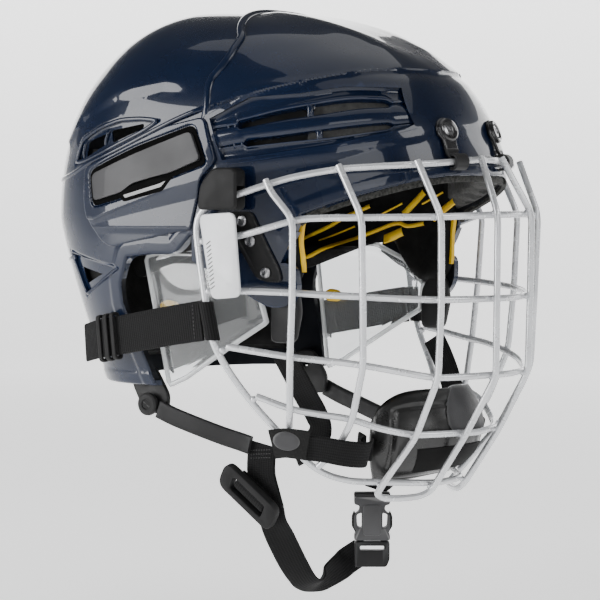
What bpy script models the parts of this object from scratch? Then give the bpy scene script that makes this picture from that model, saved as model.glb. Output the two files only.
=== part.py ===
"""Ice hockey helmet with a wire face cage, chin cup and webbing harness.

The wearer looks along -Y, the wearer's left is +X and +Z is up. The origin is in the middle of the head space.
Sizes in the tables below are in millimetres, and every point is scaled to metres when its mesh is made.
"""

import math

import bmesh
import bpy
from mathutils import Matrix, Vector

MM = 0.001
GAP = 0.4

# Shell: stacked superellipses, widest at WIDEST_Z, centred at CENTRE_Y.
HALF_WIDTH, FRONT_REACH, REAR_REACH = 104.2, 168.0, 95.0
CENTRE_Y, WIDEST_Z, CROWN_RISE, NECK_Z = 44.9, 49.6, 119.5, -46.0
PLAN_POWER, WIDTH_POWER, FRONT_POWER, REAR_POWER = 2.45, 2.62, 2.4, 1.95
NECK_NARROWING, NECK_SHORTENING = 16.0, 34.0
SHELL_WALL = 2.4
LAP_DEPTH = 3.2
LAP_LENGTH = 12.0
FLUSH_LENGTH = 48.0
SHELL_SEGMENTS, SHELL_RINGS = 40, 26

# Outlines seen from the side, as (y, z). The seam divides the front shell from the rear shell.
SEAM = [(16, 190), (15, 169), (-5, 149), (-4, 136), (2, 124), (-1, 110), (2, 60), (4, 26)]
EAR_FRONT = [(-19, 15.5), (-30, 6), (-42, 0), (-52, 2), (-57, 10)]
BROW_EDGE = [(-55.5, 40), (-60.5, 51.4), (-75, 57), (-89, 62), (-107, 68.5), (-118, 72.4), (-160, 76)]
EAR_REAR = [(-6, 45), (4, 40), (15, 29), (32, 29), (48, 27), (54.5, 12), (54.5, 1), (45, -25), (38, NECK_Z)]
REAR_VENTS = [
    [(82, 92), (67.6, 96.5), (66, 90.5), (82, 84)],
    [(63, 98), (40, 102), (40, 99), (61, 92)],
    [(89, 20), (71, 17), (86, 11)],
]
SIDE_SLOTS = [
    [(-26, 98.6), (-25, 103), (-57, 110), (-58, 105.5)],
    [(-64, 105.5), (-63, 112), (-93, 115), (-94, 111.6)],
    [(-31, 89), (-30, 92), (-63, 96.2), (-64, 93)],
    [(-70, 93.5), (-69, 98.3), (-97, 101.7), (-98, 98.4)],
]

# Padding, as distance in from the shell's outer surface.
PAD_OUTER, PAD_THICKNESS = -4.2, 11.0
REAR_PAD_OUTER = -5.0

# Cage: steel wire. Bars are listed from the middle to one side, as (x, y, z).
WIRE_RADIUS = 1.9
RIM = [
    (0, -123.6, 81.6), (10.9, -123.4, 81.4), (33, -119.6, 80), (55, -110.6, 78.6), (71, -97, 77.5), (84, -80.6,
        75.9),
    (95, -61, 72), (101, -46.9, 67.8), (106, -35.7, 63.8), (108.2, -22, 59.5), (108.5, -9.5, 54), (108.5, -5,
        45),
    (108.5, -6.5, 30), (108.5, -9, 15), (108, -12.5, -5), (107, -17, -22), (100, -31, -46), (85, -47, -71),
    (70, -57, -88), (55, -67, -95.6), (40, -80, -97.5), (18, -98, -99), (0, -101, -99.5),
]
BARS = {
    "bar_upper": [
        (0, -140.6, 51.3), (18.6, -138.7, 51.2), (36, -133, 50.9), (52.7, -124.4, 50.5), (69, -111, 50.4),
        (83, -94.9, 50.2), (92, -79, 50), (98.8, -63, 48.5), (106.2, -34, 40.5), (107, -12, 37.5),
    ],
    "bar_middle": [
        (0, -140.2, 5.2), (18.2, -138.3, 5.4), (36, -132, 5.5), (51, -123.5, 5.7), (68, -110, 6.6),
        (80.5, -94.3, 7.7), (90, -78, 8.6), (96.8, -61.3, 9.5), (106, -35, 10.3), (107, -15.5, 9.5),
    ],
    "bar_lower": [
        (0, -139, -37), (17.7, -137.3, -36.7), (35, -130.5, -36.8), (50.4, -121.3, -36.5), (65.5, -108.5, -33),
        (77, -92.3, -29.5), (88, -75, -27), (94.8, -58.5, -25.3), (101.5, -38, -22.5), (105, -23, -20.5),
    ],
    "bar_chin": [
        (0, -120.5, -70.5), (18.2, -118.9, -69.7), (33, -112, -69.5), (45.4, -104.5, -69), (60, -93, -65),
        (71.5, -81.5, -59.8), (82, -69, -57), (91, -55.8, -54), (98, -37.5, -47.5),
    ],
}
UPRIGHTS = {
    "upright_outer": [
        (105.1, -48.6, 70.5), (105.2, -52, 64), (102.8, -64.5, 49.4), (100.7, -62.8, 9.5), (98.7, -60,
            -25.3), (95, -57.4, -54), (90.4, -53.8, -64),
    ],
    "upright_middle": [
        (87.3, -83.6, 78.4), (86.3, -97.8, 50.3), (83.8, -97, 7.7), (80.3, -95.1, -29.6), (74.7, -84.4,
            -60), (71.3, -72.5, -77), (73, -61, -87),
    ],
    "upright_loop": [
        (57.2, -114.6, 81), (54.9, -128.4, 50.6), (52.9, -127.4, 5.7), (52.4, -125.3, -36.7), (47.5, -108.3,
            -70.2), (43.5, -87, -95),
        (41, -79, -104.5), (36, -80.5, -107), (28, -88, -107.5), (21, -95.5, -106.5), (18.2, -101, -103), (18.8,
            -123.3, -70.2),
        (18.3, -141.9, -37), (19, -142.7, 5.4), (19.3, -143.3, 51.4), (11.4, -128, 83),
    ],
}
LABEL_CORNERS = [(-17.6, 5.4), (-37, 7.2), (-33, 53), (-9, 51.5)]
LABEL_X, LABEL_THICKNESS = 111.9, 1.4

# Chin cup profile from its top edge to its bottom edge: front y, z and half width.
CUP_PROFILE = [(-106, -46, 30), (-112, -57, 36), (-114.5, -68, 39), (-110, -81, 38), (-98, -91, 33),
    (-86, -94.5, 27)]
CUP_SIDE_Y, CUP_WALL, CUP_WRAP_DEG = -66.0, 7.0, 82.0

# Fittings.
FOREHEAD_CLIP_X, FOREHEAD_CLIP_TURN_DEG = 25.8, 14.0
FOREHEAD_CLIP_WIDTH, FOREHEAD_SCREW_RADIUS = 11.0, 5.6
SIDE_CLIP_OUTLINE = [(-34, 54), (-34, 76), (-18, 76), (-9.5, 67), (-7.5, 53)]
SIDE_CLIP_INNER_X, SIDE_CLIP_OUTER_X = 102.4, 112.4
SIDE_CLIP_SLOT = (103.6, 111.2, 68.5)
WEBBING_WIDTH, WEBBING_THICKNESS = 16.0, 1.5
SLEEVE_WIDTH, SLEEVE_THICKNESS = 9.6, 2.6
ELASTIC_WIDTH, ELASTIC_THICKNESS = 22.0, 1.6
PIVOT = (87.2, 46.0, -57.0)
PIVOT_RADIUS = 6.5
BUCKLE_AXIS_X, BUCKLE_AXIS_Y = 2.0, -49.0
BUCKLE_TURN_DEG = -56.0
BUCKLE_WIDTH, BUCKLE_DEPTH = 21.0, 8.0
BUCKLE_TOP_Z, BUCKLE_SPLIT_Z, BUCKLE_BOTTOM_Z = -112.0, -138.0, -153.5

COLOURS = {
    "navy_shell": ((0.012, 0.030, 0.085), 0.16, 0.0),
    "black_plastic": ((0.012, 0.012, 0.013), 0.45, 0.0),
    "grey_plastic": ((0.20, 0.20, 0.21), 0.40, 0.0),
    "cage_wire": ((0.80, 0.80, 0.82), 0.28, 0.35),
    "white_label": ((0.78, 0.78, 0.79), 0.40, 0.0),
    "clear_plastic": ((0.85, 0.87, 0.88), 0.06, 0.0),
    "black_foam": ((0.018, 0.018, 0.018), 0.85, 0.0),
    "yellow_foam": ((0.75, 0.58, 0.04), 0.70, 0.0),
    "webbing": ((0.010, 0.010, 0.011), 0.80, 0.0),
    "screw_steel": ((0.35, 0.35, 0.36), 0.30, 1.0),
}


def clear_scene():
    for obj in list(bpy.data.objects):
        bpy.data.objects.remove(obj, do_unlink=True)


def new_collection(name):
    collection = bpy.data.collections.new(name)
    bpy.context.scene.collection.children.link(collection)
    return collection


def material(name):
    found = bpy.data.materials.get(name)
    if found:
        return found
    colour, roughness, metallic = COLOURS[name]
    made = bpy.data.materials.new(name)
    made.use_nodes = True
    shader = made.node_tree.nodes["Principled BSDF"]
    shader.inputs["Base Color"].default_value = (*colour, 1.0)
    shader.inputs["Roughness"].default_value = roughness
    shader.inputs["Metallic"].default_value = metallic
    return made


def add_object(name, data, finish):
    obj = bpy.data.objects.new(name, data)
    data.materials.append(material(finish))
    PARTS.objects.link(obj)
    return obj


def mesh_from(bm, name):
    mesh = bpy.data.meshes.new(name)
    bmesh.ops.recalc_face_normals(bm, faces=bm.faces)
    bm.to_mesh(mesh)
    bm.free()
    mesh.shade_smooth()
    return mesh


def lerp(a, b, t):
    return tuple(p + (q - p) * t for p, q in zip(a, b))


def along(points, t):
    """The point at share t of a list of points, moving linearly between them."""
    place = min(max(t, 0.0), 1.0) * (len(points) - 1)
    index = min(int(place), len(points) - 2)
    return lerp(points[index], points[index + 1], place - index)


def smooth_path(points, step, closed=False):
    """Points about step apart on a Catmull-Rom curve through the given ones."""
    ends = [Vector(p) for p in points]
    count = len(ends)
    padded = [ends[-1], *ends, ends[0], ends[1]] if closed else [ends[0] * 2 - ends[1], *ends,
        ends[-1] * 2 - ends[-2]]
    path = []
    for i in range(count if closed else count - 1):
        p0, p1, p2, p3 = padded[i : i + 4]
        pieces = max(1, round((p2 - p1).length / step))
        for k in range(pieces):
            t = k / pieces
            path.append(
                0.5 * (2 * p1 + (p2 - p0) * t + (2 * p0 - 5 * p1 + 4 * p2 - p3) * t**2 + (3 * p1 - p0 - 3 * p2 + p3) * t**3)
            )
    return path if closed else [*path, ends[-1]]


def mirrored(points, side):
    return [(side * x, y, z) for x, y, z in points]


# Shell surface.


def section(z, offset=0.0):
    """Half width, front reach and rear reach of the shell at height z, offset outwards."""
    width, front, rear = HALF_WIDTH + offset, FRONT_REACH + offset, REAR_REACH + offset
    if z >= WIDEST_Z:
        rise = min((z - WIDEST_Z) / (CROWN_RISE + offset), 1.0)
        return tuple(
            reach * max(1 - rise**power, 0.0) ** (1 / power)
            for reach, power in ((width, WIDTH_POWER), (front, FRONT_POWER), (rear, REAR_POWER))
        )
    drop = (WIDEST_Z - z) / (WIDEST_Z - NECK_Z)
    return width - NECK_NARROWING * drop**1.5, front, rear - NECK_SHORTENING * drop**1.15


def side_x(y, z, offset=0.0):
    """Half width of the shell at this y and z."""
    width, front, rear = section(z, offset)
    reach = rear if y > CENTRE_Y else front
    share = min(abs(y - CENTRE_Y) / reach, 1.0)
    return width * (1 - share**PLAN_POWER) ** (1 / PLAN_POWER)


def front_y(x, z, offset=0.0):
    """y of the shell's front surface at this x and z."""
    width, front, _ = section(z, offset)
    share = min(abs(x) / width, 1.0)
    return CENTRE_Y - front * (1 - share**PLAN_POWER) ** (1 / PLAN_POWER)


def seam_y(z):
    for (y0, z0), (y1, z1) in zip(SEAM, SEAM[1:]):
        if z1 <= z <= z0:
            return y0 + (y1 - y0) * (z0 - z) / (z0 - z1)
    return SEAM[-1][0] if z < SEAM[-1][1] else SEAM[0][0]


def lap_offset(y, z):
    """The rear shell steps in under the front shell and comes flush behind the seam."""
    return -LAP_DEPTH * (1 - min(max((y - seam_y(z) - 8.0) / FLUSH_LENGTH, 0.0), 1.0))


def dome(name, finish, offset, wall, segments=SHELL_SEGMENTS, rings=SHELL_RINGS):
    """The whole shell surface with this offset, thickened inwards and open at the neck."""
    bm = bmesh.new()
    bmesh.ops.create_uvsphere(bm, u_segments=segments, v_segments=rings, radius=1.0)
    below = WIDEST_Z - NECK_Z + 14.0
    for vertex in bm.verts:
        turn = math.atan2(vertex.co.y, vertex.co.x)
        height = vertex.co.z
        flat = math.hypot(vertex.co.x, vertex.co.y)
        z = WIDEST_Z + height * (CROWN_RISE if height > 0 else below)
        c, s = math.cos(turn), math.sin(turn)

        def place(shift):
            width, front, rear = section(WIDEST_Z + height * (CROWN_RISE + shift) if height > 0 else z, shift)
            reach = rear if s > 0 else front
            x = math.copysign(width * abs(c) ** (2 / PLAN_POWER), c) if flat > 1e-6 else 0.0
            y = math.copysign(reach * abs(s) ** (2 / PLAN_POWER), s) if flat > 1e-6 else 0.0
            return Vector((x, CENTRE_Y + y, WIDEST_Z + height * (CROWN_RISE + shift) if height > 0 else z))

        point = place(0.0)
        vertex.co = place(offset(point.y, point.z) if callable(offset) else offset) * MM
    bmesh.ops.bisect_plane(
        bm, geom=bm.verts[:] + bm.edges[:] + bm.faces[:], plane_co=(0, 0, (NECK_Z - 6) * MM), plane_no=(0, 0,
            -1), clear_outer=True
    )
    obj = add_object(name, mesh_from(bm, name), finish)
    thicken(obj, wall, -1.0)
    return obj


def thicken(obj, thickness, offset):
    solidify = obj.modifiers.new("Wall", "SOLIDIFY")
    solidify.thickness = thickness * MM
    solidify.offset = offset
    solidify.use_even_offset = True
    return obj


# Solids.


def prism_mesh(name, outline, x_low, x_high):
    """An outline in y and z, extruded along x."""
    bm = bmesh.new()
    face = bm.faces.new([bm.verts.new((x_low * MM, y * MM, z * MM)) for y, z in outline])
    moved = bmesh.ops.extrude_face_region(bm, geom=[face])["geom"]
    shift = Vector(((x_high - x_low) * MM, 0, 0))
    bmesh.ops.translate(bm, vec=shift, verts=[v for v in moved if isinstance(v, bmesh.types.BMVert)])
    return mesh_from(bm, name)


def side_prism(name, outline, x_low, x_high):
    return bpy.data.objects.new(name, prism_mesh(name, outline, x_low, x_high))


def boolean(obj, cutter, operation):
    CUTTERS.objects.link(cutter)
    cutter.hide_render = True
    cutter.display_type = "WIRE"
    modifier = obj.modifiers.new(cutter.name, "BOOLEAN")
    modifier.operation = operation
    modifier.object = cutter
    return obj


def slab(name, outline, x_low, x_high, finish, bevel=0.0):
    """A solid: an outline in y and z, between two x values."""
    obj = add_object(name, prism_mesh(name, outline, x_low, x_high), finish)
    if bevel:
        rounding = obj.modifiers.new("Edges", "BEVEL")
        rounding.width = bevel * MM
        rounding.segments = 1
        rounding.limit_method = "ANGLE"
    return obj


def mapped_sheet(name, across, up, place, thickness, finish, offset=0.0):
    """A grid whose points go where place(u, v) says, thickened into a solid."""
    bm = bmesh.new()
    bmesh.ops.create_grid(bm, x_segments=across, y_segments=up, size=0.5)
    for vertex in bm.verts:
        vertex.co = Vector(place(vertex.co.x + 0.5, vertex.co.y + 0.5)) * MM
    return thicken(add_object(name, mesh_from(bm, name), finish), thickness, offset)


def wire(name, points, closed=False):
    """A wire along these points."""
    curve = bpy.data.curves.new(name, "CURVE")
    curve.dimensions = "3D"
    curve.bevel_depth = WIRE_RADIUS * MM
    curve.bevel_resolution = 2
    curve.use_fill_caps = not closed
    spline = curve.splines.new("POLY")
    spline.points.add(len(points) - 1)
    for point, place in zip(spline.points, points):
        point.co = (*(Vector(place) * MM), 1.0)
    spline.use_cyclic_u = closed
    return add_object(name, curve, "cage_wire")


def ribbon(name, path, faces, width, thickness, finish, step=7.0, curl=0.0):
    """Flat webbing along a path. faces holds the direction that its flat side looks in, at even shares of the path."""
    centre = smooth_path(path, step)
    last = len(centre) - 1

    def place(u, v):
        index = min(round(u * last), last)
        forward = centre[min(index + 1, last)] - centre[max(index - 1, 0)]
        outward = Vector(along(faces, index / last))
        sideways = forward.cross(outward).normalized()
        bow = curl * (1 - (2 * v - 1) ** 2)
        return centre[index] + sideways * (v - 0.5) * width + sideways.cross(forward).normalized() * bow

    return mapped_sheet(name, last, 2 if curl else 1, place, thickness, finish)


def disc(name, centre, normal, radius, depth, finish, sides=20):
    bm = bmesh.new()
    bmesh.ops.create_cone(
        bm, cap_ends=True, segments=sides, radius1=radius * MM, radius2=radius * 0.86 * MM, depth=depth * MM
    )
    turn = Vector(normal).to_track_quat("Z", "Y").to_matrix().to_4x4()
    bmesh.ops.transform(bm, matrix=turn, verts=bm.verts)
    obj = add_object(name, mesh_from(bm, name), finish)
    obj.location = Vector(centre) * MM
    return obj


def ring_block(name, width, height, depth, hole, finish):
    """A flat frame with one slot through it: a strap slider, centred on its own origin."""
    bm = bmesh.new()
    bmesh.ops.create_cube(bm, size=1.0, matrix=Matrix.Diagonal((width * MM, height * MM, depth * MM, 1)))
    bmesh.ops.bevel(
        bm,
        geom=[e for e in bm.edges if abs((e.verts[0].co - e.verts[1].co).normalized().z) > 0.9],
        offset=0.3 * min(width, height) * MM, segments=3, profile=0.5, affect="EDGES",
    )
    obj = add_object(name, mesh_from(bm, name), finish)
    cut = bmesh.new()
    bmesh.ops.create_cube(cut, size=1.0,
        matrix=Matrix.Diagonal((hole[0] * MM, hole[1] * MM, depth * 3 * MM, 1)))
    cutter = bpy.data.objects.new(name + "_slot", mesh_from(cut, name + "_slot"))
    cutter.parent = obj
    return boolean(obj, cutter, "DIFFERENCE")


def frame_at(centre, forward, upward):
    """Matrix whose z runs along forward and whose y is the part of upward square to it."""
    z = Vector(forward).normalized()
    y = (Vector(upward) - z * z.dot(Vector(upward))).normalized()
    return Matrix.Translation(Vector(centre) * MM) @ Matrix((y.cross(z), y, z)).transposed().to_4x4()


# The object.


def build_shells():
    front = dome("front_shell", "navy_shell", 0.0, SHELL_WALL)
    outline = [*SEAM, *EAR_FRONT, *BROW_EDGE, (-160, 190)]
    boolean(front, side_prism("front_outline", outline, -130, 130), "INTERSECT")
    for number, slot in enumerate(SIDE_SLOTS):
        boolean(front, side_prism(f"side_slot_{number}", slot, -130, 130), "DIFFERENCE")
    rear = dome("rear_shell", "navy_shell", lap_offset, SHELL_WALL)
    lapped = [(y - LAP_LENGTH, z) for y, z in SEAM[:-1]]
    boolean(rear, side_prism("rear_outline", [*lapped, *EAR_REAR, (160, NECK_Z), (160, 190)], -130, 130),
        "INTERSECT")
    for number, vent in enumerate(REAR_VENTS):
        boolean(rear, side_prism(f"rear_vent_{number}", vent, -130, 130), "DIFFERENCE")


def pad(name, outline, finish, outer, thickness, x_low=-130, x_high=130, detail=(28, 18)):
    obj = dome(name, finish, outer, thickness, *detail)
    return boolean(obj, side_prism(name + "_outline", outline, x_low, x_high), "INTERSECT")


def build_liner():
    pad("crown_liner_front", [(-4, 190), (-4, 172), (-19, 154), (-19, 128), (-60, 116), (-84, 124), (-84, 190)],
        "black_foam", PAD_OUTER, PAD_THICKNESS)
    brow = [(-62, 55.5), (-76, 60), (-90, 65), (-108, 71), (-140, 75), (-140, 121), (-86, 121), (-62, 112)]
    pad("brow_pad", brow, "black_foam", PAD_OUTER, PAD_THICKNESS)
    pad("crown_liner_rear",
        [(36, 190), (36, 158), (14, 144), (14, 128), (70, 116), (118, 96), (160, 96),
        (160, 190)], "black_foam", REAR_PAD_OUTER, PAD_THICKNESS)
    pad("occipital_pad", [(64, -36), (64, 88), (160, 88), (160, -36)], "yellow_foam", REAR_PAD_OUTER, 9.0)
    for side, low, high in (("left", 20, 130), ("right", -130, -20)):
        temple = [(-59, 60), (-55, 44), (-56, 16), (-30, 22), (-16, 32), (-16, 112), (-59, 112)]
        pad(f"{side}_temple_pad", temple, "yellow_foam", PAD_OUTER - 1.0, 9.0, low, high)


def build_ear_guards():
    top = [(-32, 8), (-18, 22), (2, 31), (26, 32), (46, 27)]
    bottom = [(-33, -8), (-14, -19), (6, -31), (22, -41), (34, -46)]
    for side, sign in (("left", 1), ("right", -1)):

        def place(u, v, sign=sign):
            y, z = lerp(along(bottom, u), along(top, u), v)
            bulge = 2.5 * math.sin(math.pi * u) * math.sin(math.pi * v)
            return sign * (83.0 + 6.0 * v + bulge), y, z

        mapped_sheet(f"{side}_ear_guard", 8, 6, place, 2.0, "clear_plastic")


def build_adjusters():
    arm_front = [(3, 43), (0, 57), (-6, 70), (-12, 80), (-7, 93), (-2.5, 105)]
    arm_rear = [(63, 35.5), (74, 45), (78, 54), (79, 62), (79.5, 70), (79.5, 78.5)]
    lever_front = [(-8, 79.8), (2.5, 100.8)]
    lever_rear = [(70.5, 55.8), (73.5, 76)]
    for side, sign in (("left", 1), ("right", -1)):
        for name, front, rear, mid, wall, rows, finish in (
            ("adjuster_arm", arm_front, arm_rear, 2.4, 2.0, 5, "navy_shell"),
            ("adjuster_lever", lever_front, lever_rear, 5.0, 2.2, 3, "grey_plastic"),
        ):

            def place(u, v, sign=sign, front=front, rear=rear, mid=mid):
                y, z = lerp(along(front, v), along(rear, v), u)
                return sign * (side_x(y, z) + mid), y, z

            mapped_sheet(f"{side}_{name}", 9, rows, place, wall, finish)


def build_side_clips():
    inner, outer, roof = SIDE_CLIP_SLOT
    for side, sign in (("left", 1), ("right", -1)):
        clip = slab(f"{side}_side_clip", SIDE_CLIP_OUTLINE, sign * SIDE_CLIP_INNER_X, sign * SIDE_CLIP_OUTER_X,
            "black_plastic", 1.0)
        slot = [(-50, 30), (-50, roof), (10, roof), (10, 30)]
        boolean(clip, side_prism(f"{side}_clip_slot", slot, sign * inner, sign * outer), "DIFFERENCE")

        def place(u, v, sign=sign):
            y, z = lerp((-47, 14), (-31, 50), v)
            y += 13 * u
            return sign * (side_x(y, z) + 1.7), y, z

        mapped_sheet(f"{side}_clip_bracket", 2, 5, place, 1.8, "black_plastic")


def build_forehead_clips():
    for side, sign in (("left", 1), ("right", -1)):
        x = sign * FOREHEAD_CLIP_X
        rim_y, rim_z = -121.6, 80.3
        inner, outer = WIRE_RADIUS + 1.5, WIRE_RADIUS + 2.8
        ring = []
        for radius, degrees in ((outer, range(75, 280, 24)), (inner, range(270, 70, -24))):
            for angle in degrees:
                ring.append((rim_y + radius * math.cos(math.radians(angle)),
                    rim_z + radius * math.sin(math.radians(angle))))
        plate_low, plate_high = 87.0, 102.0
        back = [(front_y(x, z) - GAP - 0.2, z) for z in (plate_low, plate_high)]
        front = [(y - 1.6, z) for y, z in reversed(back)]
        outline = [*back, *front, *ring]
        clip = slab(f"{side}_forehead_clip", outline, -FOREHEAD_CLIP_WIDTH / 2, FOREHEAD_CLIP_WIDTH / 2,
            "black_plastic")
        pivot = Matrix.Translation(Vector((x, rim_y,
            rim_z)) * MM) @ Matrix.Rotation(math.radians(sign * FOREHEAD_CLIP_TURN_DEG), 4, "Z")
        clip.data.transform(Matrix.Translation(Vector((0, -rim_y, -rim_z)) * MM))
        clip.matrix_world = pivot
        screw_z = 95.0
        lean = Vector((0, back[1][0] - back[0][0], plate_high - plate_low)).normalized()
        normal = Matrix.Rotation(math.radians(sign * FOREHEAD_CLIP_TURN_DEG), 3,
            "Z") @ Vector((0, -lean.z, lean.y))
        seat = Vector((x, front_y(x, screw_z) - 0.6, screw_z)) + normal * 3.5
        disc(f"{side}_forehead_screw", seat, normal, FOREHEAD_SCREW_RADIUS, 2.0, "screw_steel")


def build_cage():
    rim = smooth_path(RIM + mirrored(RIM[-2:0:-1], -1), 9.0, closed=True)
    wire("cage_rim", rim, closed=True)
    for name, half in BARS.items():
        wire(f"cage_{name}", smooth_path(mirrored(half[:0:-1], -1) + half, 10.0))
    for name, points in UPRIGHTS.items():
        for side, sign in (("left", 1), ("right", -1)):
            wire(f"{side}_{name}", smooth_bends(mirrored(points, sign)))
    for side, sign in (("left", 1), ("right", -1)):

        def place(u, v, sign=sign):
            low = lerp((sign * LABEL_X, *LABEL_CORNERS[0]), (sign * LABEL_X, *LABEL_CORNERS[1]), u)
            high = lerp((sign * LABEL_X, *LABEL_CORNERS[3]), (sign * LABEL_X, *LABEL_CORNERS[2]), u)
            return lerp(low, high, v)

        mapped_sheet(f"{side}_wire_cover", 2, 2, place, LABEL_THICKNESS, "white_label")


def smooth_bends(points, radius=5.0):
    """Straight runs with a short rounded corner at each listed point."""
    corners = [Vector(p) for p in points]
    path = [corners[0]]
    for before, at, after in zip(corners, corners[1:], corners[2:]):
        reach = min(radius, (at - before).length / 2.2, (after - at).length / 2.2)
        start = at + (before - at).normalized() * reach
        end = at + (after - at).normalized() * reach
        path += [start, start * 0.25 + at * 0.5 + end * 0.25, end]
    return [*path, corners[-1]]


def build_chin_cup():
    def place(u, v):
        front, z, half = along(CUP_PROFILE, v)
        turn = math.radians(CUP_WRAP_DEG) * (2 * u - 1)
        y = CUP_SIDE_Y + (front - CUP_SIDE_Y) * math.cos(turn)
        return half * math.sin(turn), y, z - 5.0 * math.sin(turn) ** 2

    mapped_sheet("chin_cup", 14, 9, place, CUP_WALL, "black_foam")
    strap = [(43.5, -68.5, -77), (50, -79, -79), (61, -84.5, -80), (73.5, -80.5, -78.5), (82, -70, -76),
        (86.5, -60.5, -75)]
    faces = [(0.9, -0.3, -0.1), (0.6, -0.8, -0.2), (0.5, -0.85, -0.2), (0.75, -0.6, -0.2), (0.9, -0.45, -0.3),
        (0.9, -0.45, -0.3)]
    for side, sign in (("left", 1), ("right", -1)):
        ribbon(f"{side}_chin_cup_strap", mirrored(strap, sign), mirrored(faces, sign), 15.0, 1.6, "webbing",
            5.0)
        disc(f"{side}_snap_button", (sign * 93.5, -54.5, -71.2), (sign * 0.86, -0.46, -0.2), 7.0, 2.4,
            "grey_plastic")


def build_elastic_straps():
    path = [(108, -7.8, -6.8), (108, 8, -9.2), (107, 30, -13), (104.6, 52, -17), (100.6, 70, -20),
        (95, 84, -23)]
    faces = [(1, 0, 0), (1, 0.02, 0), (0.98, 0.15, 0), (0.95, 0.3, 0), (0.88, 0.45, 0), (0.8, 0.6, 0)]
    for side, sign in (("left", 1), ("right", -1)):
        ribbon(f"{side}_elastic_strap", mirrored(path, sign), mirrored(faces, sign), ELASTIC_WIDTH,
            ELASTIC_THICKNESS, "webbing")
        ring = ring_block(f"{side}_strap_slider", 26.4, 5.4, 8.0, (23.4, 2.8), "black_plastic")
        ring.matrix_world = frame_at((sign * 102.9, 60.8, -18.5), (-sign * 4.0, 18, -3), (sign * 0.93, 0.36, 0))


def build_harness():
    for side, sign in (("left", 1), ("right", -1)):
        hanger = [(-51, -19), (-55, -2), (-53, 12), (-41, 12), (-36, 4), (-36, -19)]
        slab(f"{side}_strap_hanger", hanger, sign * 77.5, sign * 83.0, "black_plastic", 1.2)
        leg = [(80.5, -43.5, -25), (80, -49, -34), (78, -56, -47), (74.5, -61, -58), (71, -61.5, -67),
            (69, -55, -75), (70, -43.5, -81.5)]
        ribbon(f"{side}_front_strap", mirrored(leg, sign), [(sign, 0, 0)] * 3, 14.0, WEBBING_THICKNESS,
            "webbing", 6.0)
        sleeve = [(86, 38.5, -59.5), (85, 28, -63.5), (83, 12, -68.5), (80.5, -3, -73), (78.6, -13, -75.5)]
        ribbon(f"{side}_rear_strap_sleeve", mirrored(sleeve, sign), [(sign, 0, 0)] * 3, SLEEVE_WIDTH,
            SLEEVE_THICKNESS, "black_plastic")
        clip = [(36, -63), (34, -52), (44, -36), (56, -36), (61, -45), (52, -62)]
        slab(f"{side}_rear_strap_clip", clip, sign * 80.0, sign * 83.0, "black_plastic", 1.0)
        disc(f"{side}_strap_pivot", PIVOT_AT[side], (sign, 0, 0), PIVOT_RADIUS, 3.4, "black_plastic")
    joined = [(75.2, -26.2, -76.5), (75.4, -25, -84), (75.4, -25, -94), (75.2, -28, -104.5)]
    ribbon("strap_junction", mirrored(joined, -1), [(-1, 0, 0)] * 2, 18.0, 2.4, "webbing", 8.0)
    adjuster = ring_block("strap_adjuster", 41.0, 17.5, 4.2, (25.0, 9.5), "black_plastic")
    adjuster.matrix_world = frame_at((-82.4, -21.5, -105.0), (-0.93, 0.18, -0.30), (0, 0.6, -0.8))


def buckle_frame(z):
    """Matrix with x across the buckle, y through its thickness and z up, centred on its axis at height z."""
    place = Matrix.Translation(Vector((BUCKLE_AXIS_X, BUCKLE_AXIS_Y, z)) * MM)
    return place @ Matrix.Rotation(math.radians(BUCKLE_TURN_DEG), 4, "Z")


def build_buckle():
    camera_side = (-0.83, -0.56, 0)
    lower = [
        (-74.2, -30.5, -112), (-72.5, -31, -120), (-66, -31.5, -134), (-55, -31.5, -148), (-42, -32.5, -156.5),
        (-30, -34.2, -160), (-19, -33, -158.5), (-7, -33.5, -155), (-1.3, -34.2, -152), (3.5, -41, -145.5),
    ]
    ribbon("lower_strap", lower,
        [(-0.97, -0.2, -0.1), (-0.95, -0.3, -0.1), camera_side, camera_side,
        camera_side], WEBBING_WIDTH, WEBBING_THICKNESS, "webbing", 6.0)
    upper = [(75.4, -25, -77), (75.2, -26, -86), (72, -30, -94), (64, -34, -99), (48, -39, -101.5),
        (30, -43, -104), (17, -46, -107), (8.5, -47, -108.6)]
    ribbon("buckle_strap", upper, [(1, 0, 0), (0.6, 0, 0.7), (0.1, -0.1, 1), (-0.3, -0.3, 1)], 14.0,
        WEBBING_THICKNESS, "webbing", 8.0)
    for name, low, high in (("buckle_socket", BUCKLE_SPLIT_Z, BUCKLE_TOP_Z),
        ("buckle_plug", BUCKLE_BOTTOM_Z, BUCKLE_SPLIT_Z - GAP)):
        bm = bmesh.new()
        bmesh.ops.create_cube(bm, size=1.0,
            matrix=Matrix.Diagonal((BUCKLE_WIDTH * MM, BUCKLE_DEPTH * MM, (high - low) * MM, 1)))
        bmesh.ops.bevel(bm, geom=bm.edges[:], offset=1.6 * MM, segments=1, affect="EDGES")
        obj = add_object(name, mesh_from(bm, name), "black_plastic")
        obj.matrix_world = buckle_frame((low + high) / 2)


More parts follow.
